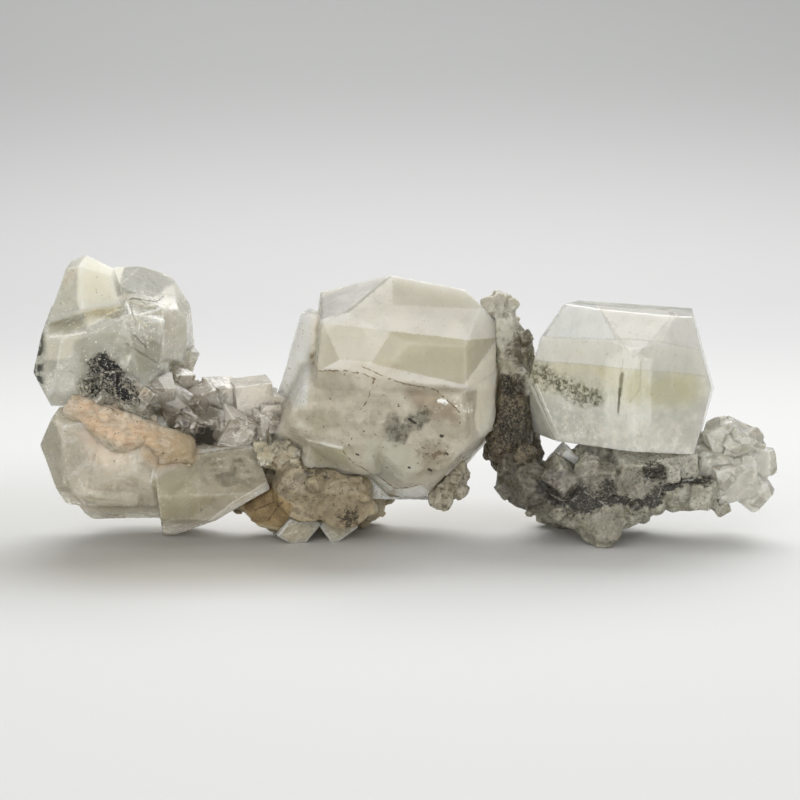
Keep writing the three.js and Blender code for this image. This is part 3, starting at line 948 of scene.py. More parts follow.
# Specks of ore: x, z and size in mm.
DOTS = (
    (0.5, 20.0, 0.34), (1.1, 19.6, 0.24), (5.0, 17.6, 0.28), (5.8, 14.9, 0.24),
    (-7.2, 15.0, 0.22), (-8.4, 16.3, 0.14), (0.3, 12.9, 0.2), (3.3, 12.5, 0.32),
    (-3.0, 12.6, 0.16), (8.4, 13.4, 0.2), (-7.1, 26.9, 0.14), (-4.7, 26.0, 0.16),
)


# %% What lies over the middle crystal
def lay_middle_low(paint, look, front, low):
    """The broken part: frosted and stained, with a smudge and the specks of ore in DOTS."""
    veils = paint.noise(4.5, detail=6, sharpness=0.55, shift=17, stretch=(0.6, 1, 1.4))
    look.lay_pair(
        veils, (0.5, 0.58, 0.4, (216, 209, 190), 0.8), (0.48, 0.41, 0.4, (164, 155, 126), 0.55), low
    )
    grains = paint.noise(1.4, detail=7, sharpness=0.72, shift=7)
    look.height = look.height + grains * low * 2.5
    look.lay_pair(
        grains, (0.54, 0.62, 0.4, (236, 231, 216), 0.95), (0.47, 0.4, 0.35, (148, 138, 112), 0.8), low
    )
    for corners, colour, share in (
        (
            [(-0.6, 24.6), (4.2, 24.0), (7.4, 21.8), (8.2, 18.0), (5.6, 17.4), (3.0, 20.4), (-0.6, 21.4)],
            (158, 140, 114), 0.8,
        ),
        ([(-14.6, 21.2), (-9.6, 21.2), (-9.2, 18.6), (-14.8, 18.8)], (160, 154, 124), 0.55),
        ([(-14.2, 16.0), (-8.6, 15.6), (-8.2, 12.6), (-13.2, 12.2)], (170, 163, 124), 0.7),
        (
            [(-6.4, 17.0), (-1.2, 17.2), (2.0, 14.6), (1.4, 10.0), (-1.6, 8.9), (-5.2, 11.4)],
            (200, 198, 180), 0.6,
        ),
        ([(2.6, 16.2), (5.0, 16.8), (6.6, 14.2), (4.6, 11.6), (1.6, 11.6)], (150, 134, 108), 0.65),
    ):
        look.lay(paint.patch(corners, 0.7, paint.ragged) * front * share, colour, 0.74)
    for corners in (
        [(-7.4, 10.6), (-5.2, 11.2), (-1.8, 8.7), (-3.4, 7.0)],
        [(-1.6, 8.6), (2.2, 9.7), (3.8, 7.6), (-1.4, 7.0)],
    ):
        look.lay(paint.patch(corners, 0.2) * front * 0.9, (255, 252, 240), 0.85, 0.1)
    stain = paint.noise(0.9, detail=8, sharpness=0.74, shift=9)
    smudge = paint.lines([(2.2, 20.6), (0.6, 19.2), (-1.6, 17.6)], 1.9, paint.ragged)
    smudge = smudge | paint.near((-1.8, -14, 19.0), 1.5)
    look.lay(smudge * 0.75, (112, 108, 90), 0.9, 0.3)
    look.lay(smudge * stain.rise(0.46, 0.56) * 0.8, (84, 80, 64), 0.97, 0.5)
    brown = paint.spots(((4.2, -13, 15.2), 1.7, (0.7, 0.3, 1.3)), ((8.6, -11, 12.6), 2.0))
    look.lay(brown * stain.rise(0.46, 0.55) * low * 0.8, (108, 90, 60), 0.97, 0.5)
    for x, z, size in DOTS:
        look.lay(paint.line((x, z), (x + size, z - size * 0.6), size) * front * 0.95, (38, 32, 22), 1.0, 0.5)
    look.lay(paint.pits(0.6, 1.0, shift=5) * low * 0.8, (84, 74, 54), 1.0, 0.5)


def lay_middle_marks(paint, look, front, low):
    """Cracks, pale ledges, a paler right side that is painted light, the side blade, and pits, of which the
    white ones are painted glints.
    """
    # Painted light: the right side of the front is painted paler.
    side = paint.patch([(10.4, 24.6), (13.8, 24.0), (13.6, 18.0), (11.4, 15.5), (10.0, 18.5)], 0.3)
    look.lay(side * front * 0.8, (244, 238, 218), 0.88)
    shelf = paint.lines([(4.6, 22.8), (7.0, 22.3), (9.4, 20.9)], 0.5)
    crumbs = paint.noise(0.6, detail=5).rise(0.45, 0.55)
    look.lay(shelf * crumbs * front, (250, 248, 240), 1.0, 0.2)
    cracks = paint.lines([(-15.2, 26.6), (-11.9, 27.0), (-8.9, 27.0), (-6.2, 26.6), (-4.6, 25.9)], 0.15)
    for points in (
        [(-6.6, 27.8), (-3.6, 26.4), (-0.3, 25.1), (4.2, 24.2), (6.4, 22.4), (7.8, 21.0)],
        [(-4.7, 25.7), (-5.5, 23.1), (-6.6, 21.6)],
        [(-9.2, 15.4), (-7.6, 13.4), (-6.2, 12.6), (-4.6, 10.8), (-1.7, 8.7), (2.2, 9.8)],
    ):
        cracks = cracks | paint.lines(points, 0.14)
    broken_line = paint.noise(0.8, detail=3, shift=4).rise(0.4, 0.52, 0.15, 0.9)
    look.lay(cracks * front * broken_line, (118, 96, 64), 1.0, 0.5)
    look.lay(paint.near((-5.0, -13, 27.2), 2.2, (0.5, 0.4, 1.6)) * front * 0.35, (176, 156, 118), 0.95)
    pale = paint.lines([(-14.6, 16.9), (-12.0, 16.5), (-9.4, 15.9)], 0.32)
    pale = pale | paint.lines([(-14.0, 12.2), (-8.4, 12.0)], 0.16)
    look.lay(pale * front * 0.8, (244, 241, 230), 0.9, 0.2)
    # Painted glints: small white specks on the broken part.
    look.lay(paint.pits(0.35, 1.0, shift=8) * low * 0.7, (246, 244, 236), 1.0, 0.2)
    blade = paint.x.rise(-14.6, -14.0, 1.0, 0.0) * paint.z.rise(21, 23)
    look.lay(blade * 0.9, (240, 239, 232), 0.5, 0.08)
    look.lay(blade * paint.pits(0.35, 0.7, shift=4) * 0.6, (130, 128, 112), 0.9)
    look.lay(paint.pits(0.4, 0.8, shift=3) * 0.4, (160, 152, 130), 0.95)


# %% Middle crystal
def middle_look(paint):
    """Zones of the front face, clouds behind, and low, the broken part under the crack."""
    front = front_only(paint)
    low = (paint.z + paint.x * 0.16 + paint.noise(2) * 0.8).rise(25.4, 26.2, 1.0, 0.0) * front
    haze = paint.noise(6, detail=5, shift=3).rise(0.3, 0.7, -0.1, 0.1)
    dents = paint.noise(3, detail=2) * 0.6 + paint.noise(0.5, detail=3) * 0.2
    look = Look(paint, (240, 236, 226), haze + 0.66, paint.noise(2).rise(0.4, 0.7, 0.14, 0.24), dents)
    # Each zone is one front face with its own tone. The grey top-left face is painted shade, and the olive
    # band below the top is partly its own colour and partly painted shade.
    look.lay_zones(
        front, 0.9, 0.12,
        ([(-13.6, 37.4), (-2.0, 41.2), (-2.2, 40.0), (-8.2, 35.4), (-13.2, 33.9)], (172, 170, 162), 0.7),
        ([(-12.3, 33.8), (-2.1, 32.7), (-5.1, 28.3), (-9.6, 28.6)], (216, 211, 194), 0.76),
        ([(-2.1, 32.7), (13.6, 30.6), (8.4, 24.8), (-5.1, 28.2)], (196, 189, 160), 0.7),
        ([(-13.4, 32.6), (-12.2, 33.8), (-9.6, 28.6), (-14.8, 26.0)], (190, 184, 158), 0.72),
        ([(13.6, 30.0), (13.6, 22.8), (8.4, 24.8)], (238, 233, 216), 0.82),
        ([(-2.0, 41.5), (14.0, 39.5), (13.5, 35.2), (-2.0, 36.2)], (216, 212, 198), 0.66),
    )
    whole = paint.noise(3.5, detail=7, sharpness=0.62, shift=41)
    look.lay(whole.rise(0.51, 0.6) * (1 - low) * 0.15, (236, 232, 214), 0.85)
    look.lay(whole.rise(0.47, 0.4) * (1 - low) * 0.12, (180, 175, 150), 0.6)
    look.lay(low * 0.9, (198, 189, 168), 0.64, 0.3)
    behind = paint.y.rise(-3, 3)
    look.lay_pair(
        whole, (0.51, 0.46, 0.6, (196, 188, 164), 0.6), (0.46, 0.42, 0.5, (160, 154, 132), 0.6), behind
    )
    look.lay(paint.cleavage(0.1, 0.12, shift=3) * behind * 0.7, (250, 248, 240), 0.95, 0.2)
    look.lay(paint.pits(0.5, 0.9, shift=12) * behind * 0.7, (96, 86, 64), 1.0, 0.5)
    lay_middle_low(paint, look, front, low)
    lay_middle_marks(paint, look, front, low)
    return look


middle_finish = crystal_finish(
    "middle_crystal", middle_look, (230, 226, 206), 22, scatter=7, haze=0.3, ridge=0.2, seam=0.3,
    dirt=(158, 136, 104),
)
middle_skin = crystal_skin(
    "middle_crystal", 0.3, middle_broken, ((5.0, 0.16), (2.0, 0.18), (0.8, 0.16)),
    worn=lambda place: middle_broken(place) > 0.04,
)
add_piece(middle_skin, "middle_crystal", middle_finish)

# %% [markdown]
# ### The left crystals
# Above, a cream pyramid leans on a clear block full of flaws. Below, a pale body, a greenish
# nose and an olive prism. Both groups share a finish and differ in the zones laid over it.

# %% The black stain
def lay_ore(paint, look, where=1.0):
    """The ragged black stain that runs from the upper left crystals down through the pocket."""
    core = paint.lines([(-44.3, 28.2), (-43.2, 26.6), (-41.8, 25.0), (-41.0, 23.4)], 1.0, paint.ragged)
    spread = paint.lines([(-44.6, 27.6), (-43.6, 25.8), (-41.8, 24.2), (-40.9, 23.4)], 2.7, paint.ragged)
    spread = spread | (paint.near((-45.4, -11.5, 25.4), 1.9, (1, 0.3, 0.8)) * 0.8)
    border = paint.noise(1.2, detail=8, sharpness=0.76, shift=6) - 0.5
    stain = (spread + border * 3.0).rise(0.4, 0.62) * where
    grain = paint.noise(0.4, detail=7, sharpness=0.8, shift=15)
    look.lay(stain * 0.75, (92, 86, 70), 0.95, 0.35)
    look.lay(stain * (grain + core * 0.13).rise(0.495, 0.535), (16, 14, 11), 1.0, 0.35)
    look.lay(stain * grain.rise(0.45, 0.41) * 0.9, (206, 200, 184), 1.0, 0.15)


# %% What lies over the upper left crystals
def lay_upper_left_marks(paint, look, front):
    """Edges, cracks, the left rim painted dark as painted shade, the black stain, and white specks painted
    as glints.
    """
    look.lay(paint.lines([(-36.2, 37.4), (-35.9, 30.0)], 0.14) * front * 0.6, (240, 238, 228), 0.95)
    look.lay(paint.z.rise(35.0, 37.0), shine=0.6)
    ledge = paint.lines([(-52.2, 31.4), (-49.6, 31.8), (-46.8, 32.2)], 0.22)
    ledge = ledge | paint.lines([(-46.6, 33.0), (-42.0, 35.8)], 0.12)
    look.lay(ledge * front * 0.8, (240, 236, 222), 0.95, 0.2)
    # Painted shade: the left face is painted darker, with dark specks in it.
    rim = paint.x.rise(-53.9, -52.4, 1.0, 0.0) * paint.z.rise(31.5, 33.0, 1.0, 0.0)
    look.lay(rim * 0.6, (130, 132, 116), 0.8, 0.3)
    look.lay(rim * paint.noise(1.5, detail=6, shift=3).rise(0.46, 0.54), (50, 52, 42), 0.9, 0.3)
    cracked = paint.spots(((-38.4, -6, 36.2), 2.6, (0.6, 0.3, 1.2)), ((-38.6, -8, 31.6), 2.4))
    sparkle = paint.noise(0.5, detail=6, sharpness=0.8, shift=2, stretch=(0.5, 1, 1.3))
    look.lay(cracked * sparkle.rise(0.54, 0.6), (250, 248, 240), 1.0, 0.1)
    look.lay(cracked * sparkle.rise(0.46, 0.41) * 0.7, (96, 90, 72), 1.0, 0.3)
    cracks = paint.strokes(0.14, [(-40.0, 31.8), (-38.0, 29.6)], [(-41.0, 30.6), (-36.8, 27.4)])
    cracks = cracks | paint.lines([(-40.6, 36.6), (-37.0, 36.0), (-36.2, 36.6)], 0.12)
    look.lay(cracks * front * 0.8, (92, 86, 68), 1.0, 0.4)
    halo = paint.near((-42.6, -10, 27.4), 4.4, (0.8, 0.3, 1.0)) * front
    smoke = paint.noise(1.2, detail=8, sharpness=0.75, shift=19).rise(0.44, 0.56)
    look.lay(halo * smoke * 0.5, (140, 136, 118), 0.8, 0.3)
    lay_ore(paint, look, front * paint.z.rise(20.0, 21.0))
    look.lay(paint.near((-49.4, -8, 40.2), 1.0) * front * 0.5, (176, 158, 130), 0.9)
    look.lay(paint.pits(0.45, 0.9, shift=3) * 0.6, (110, 104, 84), 1.0, 0.4)
    # Painted glints: small white specks.
    look.lay(paint.pits(0.4, 0.8, shift=9) * 0.8, (248, 246, 236), 1.0, 0.15)


# %% Upper left crystals
def upper_left_look(paint):
    front = paint.y.rise(6.5, 8.5, 1.0, 0.0)
    look = glassy(paint, (228, 225, 212), 0.44, 0.07, shift=5)
    flaws = paint.noise(1.5, detail=6, sharpness=0.72, shift=2)
    look.lay_pair(
        flaws, (0.53, 0.62, 0.5, (238, 234, 220), 0.9, 0.2), (0.46, 0.38, 0.45, (168, 162, 140), 0.75, 0.2)
    )
    look.lay(paint.cleavage(0.12, 0.16, shift=2) * 0.5, (244, 241, 230), 0.95, 0.2)
    look.lay(paint.cleavage(0.08, 0.16, shift=7, turn=2.3) * 0.5, (128, 121, 100), 0.95, 0.3)
    look.lay_zones(
        front, 0.75, 0.3,
        (
            [
                (-48.0, 42.0), (-47.3, 43), (-43.0, 41.2), (-41.8, 38.2),
                (-41.8, 35.6), (-46.4, 32.8), (-48.2, 36.6),
            ],
            (236, 232, 214), 0.88,
        ),
        (
            [(-50.4, 41.8), (-48.2, 42.2), (-48.2, 36.6), (-46.4, 32.8), (-51.6, 32.6), (-53.0, 35.0)],
            (206, 203, 186), 0.66,
        ),
        (
            [(-43.0, 41.4), (-40.2, 41.8), (-35.6, 40.6), (-35.0, 38.0), (-37.6, 36.6), (-42.4, 37.4)],
            (140, 140, 130), 0.6,
        ),
        ([(-36.4, 37.8), (-34.6, 37.4), (-34.4, 29.0), (-36.6, 29.4)], (228, 223, 211), 0.7),
        ([(-34.5, 38.2), (-31.2, 35.0), (-31.0, 30.0), (-34.3, 28.8)], (226, 224, 212), 0.66),
        ([(-54.4, 31.6), (-47.6, 31.8), (-49.0, 28.4), (-53.8, 28.0)], (222, 217, 200), 0.8),
        (
            [(-48.6, 31.0), (-44.3, 32.4), (-37.6, 31.4), (-35.2, 28.4), (-38.2, 25.0), (-48.6, 24.6)],
            (180, 177, 160), 0.76,
        ),
        ([(-52.6, 33.4), (-47.4, 34.0), (-46.8, 32.6), (-52.6, 31.8)], (168, 162, 138), 0.8),
    )
    lay_upper_left_marks(paint, look, front)
    return look


upper_left_finish = crystal_finish(
    "upper_left_crystals", upper_left_look, (226, 225, 206), 26, haze=0.06, ridge=0.4
)
upper_left_skin = crystal_skin("upper_left_crystals", 0.3, lambda place: 0.4, ((3.4, 0.1), (1.3, 0.14)))
add_piece(upper_left_skin, "upper_left_crystals", upper_left_finish)


# %% What lies over the lower left crystals
def lay_lower_left_marks(paint, look, front):
    """Smoke, white edges, the stain the stilbite leaves round it, and white specks painted as glints."""
    mottle = paint.near((-25.6, -8, 11.8), 3.4, (0.8, 0.3, 1.1))
    smoke = paint.noise(1.8, detail=8, sharpness=0.72, shift=3, stretch=(0.7, 1, 1.3))
    look.lay(mottle * smoke.rise(0.46, 0.58) * 0.85, (112, 104, 86), 0.9, 0.3)
    look.lay(mottle * smoke.rise(0.44, 0.36) * 0.7, (214, 208, 190), 0.9, 0.2)
    white = paint.lines([(-51.1, 18.0), (-49.5, 15.1), (-48.2, 11.7), (-47.2, 8.6)], 0.14) * 0.6
    white = white | paint.lines([(-37.9, 16.0), (-36.9, 13.5), (-37.5, 10.2)], 0.18)
    white = white | (paint.lines([(-46.0, 11.8), (-44.3, 12.8), (-41.9, 13.6)], 0.12) * 0.6)
    white = white | (paint.lines([(-34.9, 0.9), (-30.0, 3.3), (-25.2, 7.1), (-21.0, 9.4)], 0.2) * 0.6)
    white = white | paint.lines([(-30.8, 14.1), (-26.9, 14.5), (-23.2, 14.8)], 0.22)
    look.lay(white * front * 0.8, (246, 243, 233), 0.95, 0.2)
    under = paint.lines([(-47.1, 8.0), (-43.6, 7.5), (-39.9, 7.1)], 0.18)
    look.lay(under * front * 0.7, (128, 118, 92), 0.95, 0.3)
    for place, radius, stretch, share, colour, milk in (
        ((-43.4, -11, 15.4), 3.2, (0.8, 0.3, 1.2), 0.7, (255, 236, 212), 0.9),
        ((-49.4, -9, 14.4), 2.8, (0.9, 0.3, 0.7), 0.7, (176, 170, 152), 0.66),
        ((-43.0, -10, 10.4), 3.0, (0.7, 0.3, 1.2), 0.5, (200, 192, 170), 0.75),
    ):
        look.lay(paint.near(place, radius, stretch) * share, colour, milk)
    peach = paint.near((-44.5, -11, 17.5), 2.6, (0.7, 0.3, 1.5))
    look.lay(peach * 0.5, (222, 196, 166), 0.95, 0.35)
    tan = paint.patch([(-39.4, 17.6), (-30.6, 14.4), (-31.4, 12.6), (-36.9, 12.0), (-39.0, 14.6)], 0.8)
    look.lay(tan * front * 0.8, (222, 192, 152), 0.9, 0.2)
    # Painted glints: small white specks.
    look.lay(paint.pits(0.4, 0.95, shift=1) * 0.7, (248, 246, 238), 1.0, 0.15)
    look.lay(paint.pits(0.5, 0.95, shift=3) * 0.8, (90, 80, 60), 1.0, 0.4)


# %% Lower left crystals
def lower_left_look(paint):
    front = paint.y.rise(1, 3, 1.0, 0.0)
    look = glassy(paint, (226, 218, 201), 0.72, 0.1, shift=11)
    flaws = paint.noise(2.2, detail=6, sharpness=0.66, shift=9)
    look.lay_pair(
        flaws, (0.52, 0.7, 0.5, (240, 235, 224), 0.9, 0.2), (0.46, 0.32, 0.35, (184, 176, 152), 0.8, 0.2)
    )
    look.lay(paint.cleavage(0.12, 0.14, shift=4) * 0.7, (242, 238, 228), 0.95, 0.25)
    look.lay_zones(
        front, 0.8, 0.35,
        (
            [
                (-51.6, 20), (-55.4, 15), (-54.6, 10), (-50.6, 8.6),
                (-47.3, 8.4), (-48.4, 11.7), (-49.7, 15.1), (-51.2, 18.2),
            ],
            (168, 165, 147), 0.54,
        ),
        ([(-51.0, 18.0), (-44.0, 18.4), (-38.4, 15.0), (-37.4, 9.4), (-47.0, 9.0)], (222, 213, 196), 0.76),
        ([(-47.0, 8.2), (-37.4, 8.2), (-36.4, 3.0), (-46.0, 5.0)], (206, 199, 178), 0.7),
        ([(-37.6, 10.4), (-30.6, 14.0), (-30.6, 4.0), (-36.3, 1.6)], (176, 168, 136), 0.64),
        ([(-30.6, 14.0), (-22.6, 14.4), (-20.6, 9.4), (-28.0, 5.0), (-30.6, 4.0)], (170, 160, 134), 0.68),
    )
    lay_lower_left_marks(paint, look, front)
    return look


def ledges(place):
    """The stepped part of the lower left body, whose edges are rounder and more broken."""
    return 1.0 if -50.5 < place.x < -37.5 and 5.5 < place.z < 17.5 and place.y < 0 else 0.3


lower_left_finish = crystal_finish(
    "lower_left_crystals", lower_left_look, (226, 220, 198), 28, haze=0.1, ridge=0.4
)
lower_left_skin = crystal_skin(
    "lower_left_crystals", 0.3, ledges, ((3.6, 0.1), (1.3, 0.14), (0.7, 0.1)),
    worn=lambda place: ledges(place) > 0.9,
)
add_piece(lower_left_skin, "lower_left_crystals", lower_left_finish)


# %% The small clear crystals
def small_look(paint):
    """The two toes under the brown matrix are tinted by it; the others are white."""
    look = glassy(paint, (255, 250, 236), 0.76, 0.07, shift=3)
    look.lay(paint.z.rise(4.6, 5.6, 1.0, 0.0), (244, 230, 202), 0.6)
    flaws = paint.noise(0.9, detail=6, sharpness=0.7, shift=2)
    look.lay_pair(
        flaws, (0.48, 0.4, 0.5, (190, 170, 134), 0.6, 0.2), (0.54, 0.62, 0.6, (250, 242, 224), 0.9, 0.2)
    )
    look.lay(paint.cleavage(0.1, 0.2, shift=2) * 0.6, (252, 250, 242), 0.95, 0.2)
    # Painted highlight: the outer edges are painted near white, standing in for light that comes through the
    # small crystals.
    look.lay(paint.mark("ridge") ** 2 * 0.8, (255, 252, 244), 0.9, 0.2)
    look.lay(paint.pits(0.4, 0.7, shift=2) * 0.8, (120, 100, 68), 1.0, 0.4)
    return look


small_finish = crystal_finish("small_crystals", small_look, (238, 232, 214), 12, scatter=3.0, ridge=0.8)
for node in ("foot_crystal", "toe_left", "toe_right", "arm_crystal"):
    add_piece(crystal_skin(node, 0.2), node, small_finish)

# %% [markdown]
# ## The druse
# Druse is a crust of crystals too small to name, some clear, some pale, some dark with the rock
# under them. The form gets lumps and blocks sunk into it and is resampled into one skin, then
# chipped. The finish draws a number for each grain and tints it by that number, darkens the
# hollows and pales the edges, so the crust looks like many small stones packed together.


# %% A druse's finish
DRUSE_IOR = 1.53
DRUSE_BUMP = 0.4
CRUST_GLOW = 0.6
CRUST_SCATTER = (1, 0.9, 0.75)
GRIT_SIZE = 0.32
GRIT_DARK = (26, 22, 15)
GRIT_PALE = (214, 207, 188)


def druse_finish(name, describe, scatter=0.8, fine=0.5):
    """describe returns the colour, the gloss and the clear share, and may set coarse and grit."""
    paint = Paint(name)
    colour, shine, clear_share = describe(paint)
    if paint.grit:
        grains = paint.noise(GRIT_SIZE, detail=8, sharpness=0.82, shift=50)
        colour = paint.coats(
            colour,
            (GRIT_DARK, grains.rise(0.485, 0.43) * paint.grit * 0.75),
            (GRIT_PALE, grains.rise(0.53, 0.59) * paint.grit * 0.42),
        )
    skin = paint.bump(paint.noise(fine, detail=6, sharpness=0.7) * paint.coarse, DRUSE_BUMP)
    crust = paint.stone(
        Base_Color=colour,
        Subsurface_Weight=CRUST_GLOW,
        Subsurface_Radius=CRUST_SCATTER,
        Subsurface_Scale=scatter * MM,
        Roughness=shine,
        Normal=skin,
    )
    clear = paint.stone(
        Base_Color=(1, 1, 1, 1),
        Transmission_Weight=1.0,
        IOR=DRUSE_IOR,
        Roughness=shine,
        Normal=skin,
    )
    return paint.finish(paint.mixed(clear_share, crust, clear))


def veined(paint, body, shade, dark, share, size=0.8, shift=0.0, lobe=2.2):
    """Half-clear lobes with thin dark borders and a fine dark network; share, -1 to 1, says how dense."""
    clouds = paint.noise(2.6, detail=5, shift=shift + 3).rise(0.36, 0.64) - paint.mark("relief") * 0.12
    own = paint.lots(lobe, shift=shift, place=paint.uneven) - 0.5
    colour = paint.blend(body, shade, clouds + own * 0.5)
    border = paint.cells(lobe, "DISTANCE_TO_EDGE", shift=shift, place=paint.uneven).rise(0.0, 0.06, 1.0, 0.0)
    colour = paint.blend(colour, dark, border * paint.noise(1.6, shift=shift).rise(0.4, 0.6) * 0.7)
    network = paint.noise(size, detail=8, sharpness=0.76, shift=shift) + share * 0.14
    speckles = paint.noise(0.5, detail=6, sharpness=0.8, shift=shift + 7).rise(0.49, 0.6)
    return paint.coats(
        colour,
        (paint.blend(dark, shade, speckles * 0.45), network.rise(0.5, 0.56) * 0.95),
        (dark, paint.mark("seam") * 0.6),
        (body, paint.mark("ridge") ** 1.5 * 0.45),
    )


def druse_shine(paint, dull=0.5):
    return paint.lots(0.6, shift=8).rise(0.3, 0.8, 0.16, dull)


# %% The column of the arm
def column_look(paint):
    """Dark brown below, an olive stained corner above it, and a smooth half-clear pale knob on top."""
    rag = paint.z + paint.noise(1.2, detail=6, sharpness=0.7, shift=27) * 5 - 2.5
    knob = rag.rise(24.9, 25.7) | (paint.x.rise(17.2, 18.4) * rag.rise(20.5, 23.0))
    olive = paint.near((17.4, -3.5, 29.2), 2.3, (1.0, 0.3, 0.75))
    dark = paint.spots(
        ((15.6, -3.5, 23.6), 1.9, (0.5, 0.3, 1.2)), ((16.0, -3.5, 17.4), 2.8, (0.9, 0.3, 0.8))
    )
    colour = veined(paint, (130, 118, 95), (94, 84, 66), (28, 23, 16), dark * 0.9 - 0.2, size=0.6)
    grains = paint.noise(0.3, detail=5, sharpness=0.8, shift=33)
    colour = paint.blend(colour, (186, 174, 148), grains.rise(0.54, 0.6) * 0.5)
    pale = veined(
        paint, (218, 214, 196), (194, 188, 167), (120, 112, 88), olive * 1.4 - 0.8, shift=5, lobe=4.2
    )
    stained = paint.noise(0.7, detail=8, sharpness=0.76, shift=21).rise(0.42, 0.54, 0.5, 1.0)
    pale = paint.blend(pale, (70, 63, 44), olive * stained * 0.85)
    paint.coarse = knob.rise(0.0, 1.0, 1.0, 0.3)
    paint.grit = knob.rise(0.0, 1.0, 0.45, 0.15)
    return paint.blend(colour, pale, knob), druse_shine(paint), knob * (1 - olive) * 0.3


# %% The foot of the arm
FOOT_CRYSTALS = (
    ([(20.8, 11.8), (26.2, 11.8), (26.2, 8.5), (24.3, 6.8), (20.8, 8.3)], (140, 131, 124)),
    ([(26.9, 12.7), (30.9, 13.3), (32.1, 10.0), (30.2, 5.9), (26.2, 8.5)], (156, 150, 136)),
    ([(31.7, 10.9), (33.9, 11.2), (38.2, 9.7), (37.3, 7.6), (33.6, 6.7), (31.2, 8.2)], (172, 167, 152)),
    ([(38.5, 13.0), (42.6, 13.3), (44.0, 11.5), (42.6, 9.8), (38.6, 9.6)], (214, 210, 196)),
)


def foot_look(paint):
    """Grey half-clear crystals over a pale fringe; dirt lies dark in the lines between them."""
    clouds = paint.noise(2.4, detail=6, sharpness=0.6, shift=6).rise(0.4, 0.6)
    left = paint.x.rise(20.0, 23.5, 1.0, 0.0) * paint.z.rise(3.0, 6.0)
    colour = paint.coats(
        paint.blend((212, 209, 192), (172, 168, 148), clouds),
        ((164, 158, 138), paint.z.rise(5.0, 7.0, 0.55, 0.0) * paint.x.rise(31, 34, 1.0, 0.0)),
        ((104, 95, 78), left * 0.85),
        ((236, 232, 220), paint.z.rise(11.8, 13.2) * paint.x.rise(25.5, 27.5)),
    )
    for corners, grey in FOOT_CRYSTALS:
        colour = paint.blend(colour, grey, paint.patch(corners, 0.4) * 0.7)
    edges = paint.strokes(
        0.14,
        [(20.8, 8.3), (24.3, 6.8), (26.2, 8.5)],
        [(26.2, 8.5), (30.2, 5.9)],
        [(31.7, 10.9), (33.9, 11.2), (35.0, 10.2), (38.2, 9.7), (37.3, 7.6)],
        [(38.6, 9.6), (42.6, 9.8), (44.0, 11.5)],
    )
    edges = edges * paint.noise(1.1, detail=3, shift=9).rise(0.4, 0.55)
    seam = any_of(
        paint.lines(points, width, paint.ragged)
        for points, width in (
            ([(20.0, 9.2), (22.0, 7.8), (23.6, 6.9), (25.8, 6.2), (28.4, 6.4)], 1.7),
            ([(28.4, 6.4), (31.0, 7.4), (33.6, 6.4), (37.6, 7.4)], 1.1),
            ([(38.0, 8.8), (41.0, 9.4), (44.2, 9.8)], 0.9),
        )
    )
    for place, radius, stretch, share in (
        ((36.6, -8, 10.9), 1.5, (0.8, 0.3, 1.0), 1.0),
        ((37.6, -8, 8.2), 1.0, (1, 1, 1), 1.0),
        ((45.4, -6, 10.9), 1.5, (1, 1, 1), 1.0),
        ((29.5, -8, 8.8), 1.5, (1.0, 0.3, 0.7), 0.8),
        ((25.4, -8.5, 7.2), 2.0, (0.75, 0.3, 1.0), 1.0),
    ):
        spot = paint.near(place, radius, stretch)
        seam = seam | (spot if share == 1.0 else spot * share)
    feather = paint.noise(0.4, detail=8, sharpness=0.8, shift=3, stretch=(1.0, 1.0, 1.3))
    dirt = feather + seam * 0.17 + left * 0.05 - 0.05
    colour = paint.coats(
        colour,
        ((96, 88, 74), dirt.rise(0.46, 0.54) * 0.8),
        ((26, 22, 17), dirt.rise(0.53, 0.59) * 0.95),
        ((226, 222, 208), edges * paint.y.rise(-3, -1, 1.0, 0.0) * 0.5),
        ((60, 54, 42), paint.mark("seam") * 0.6),
        ((214, 210, 194), paint.mark("ridge") ** 1.5 * 0.4),
    )
    paint.coarse = 0.55
    paint.grit = 0.35
    return colour, druse_shine(paint), (1 - seam) * 0.14


# %% Grey knob and brown matrix
def grey_knob_look(paint):
    colour = veined(paint, (204, 197, 178), (168, 159, 136), (86, 76, 54), -0.25)
    colour = paint.blend(colour, (206, 196, 172), paint.z.rise(10.0, 13.0) * 0.6)
    paint.grit = 0.3
    return colour, druse_shine(paint), 0.0


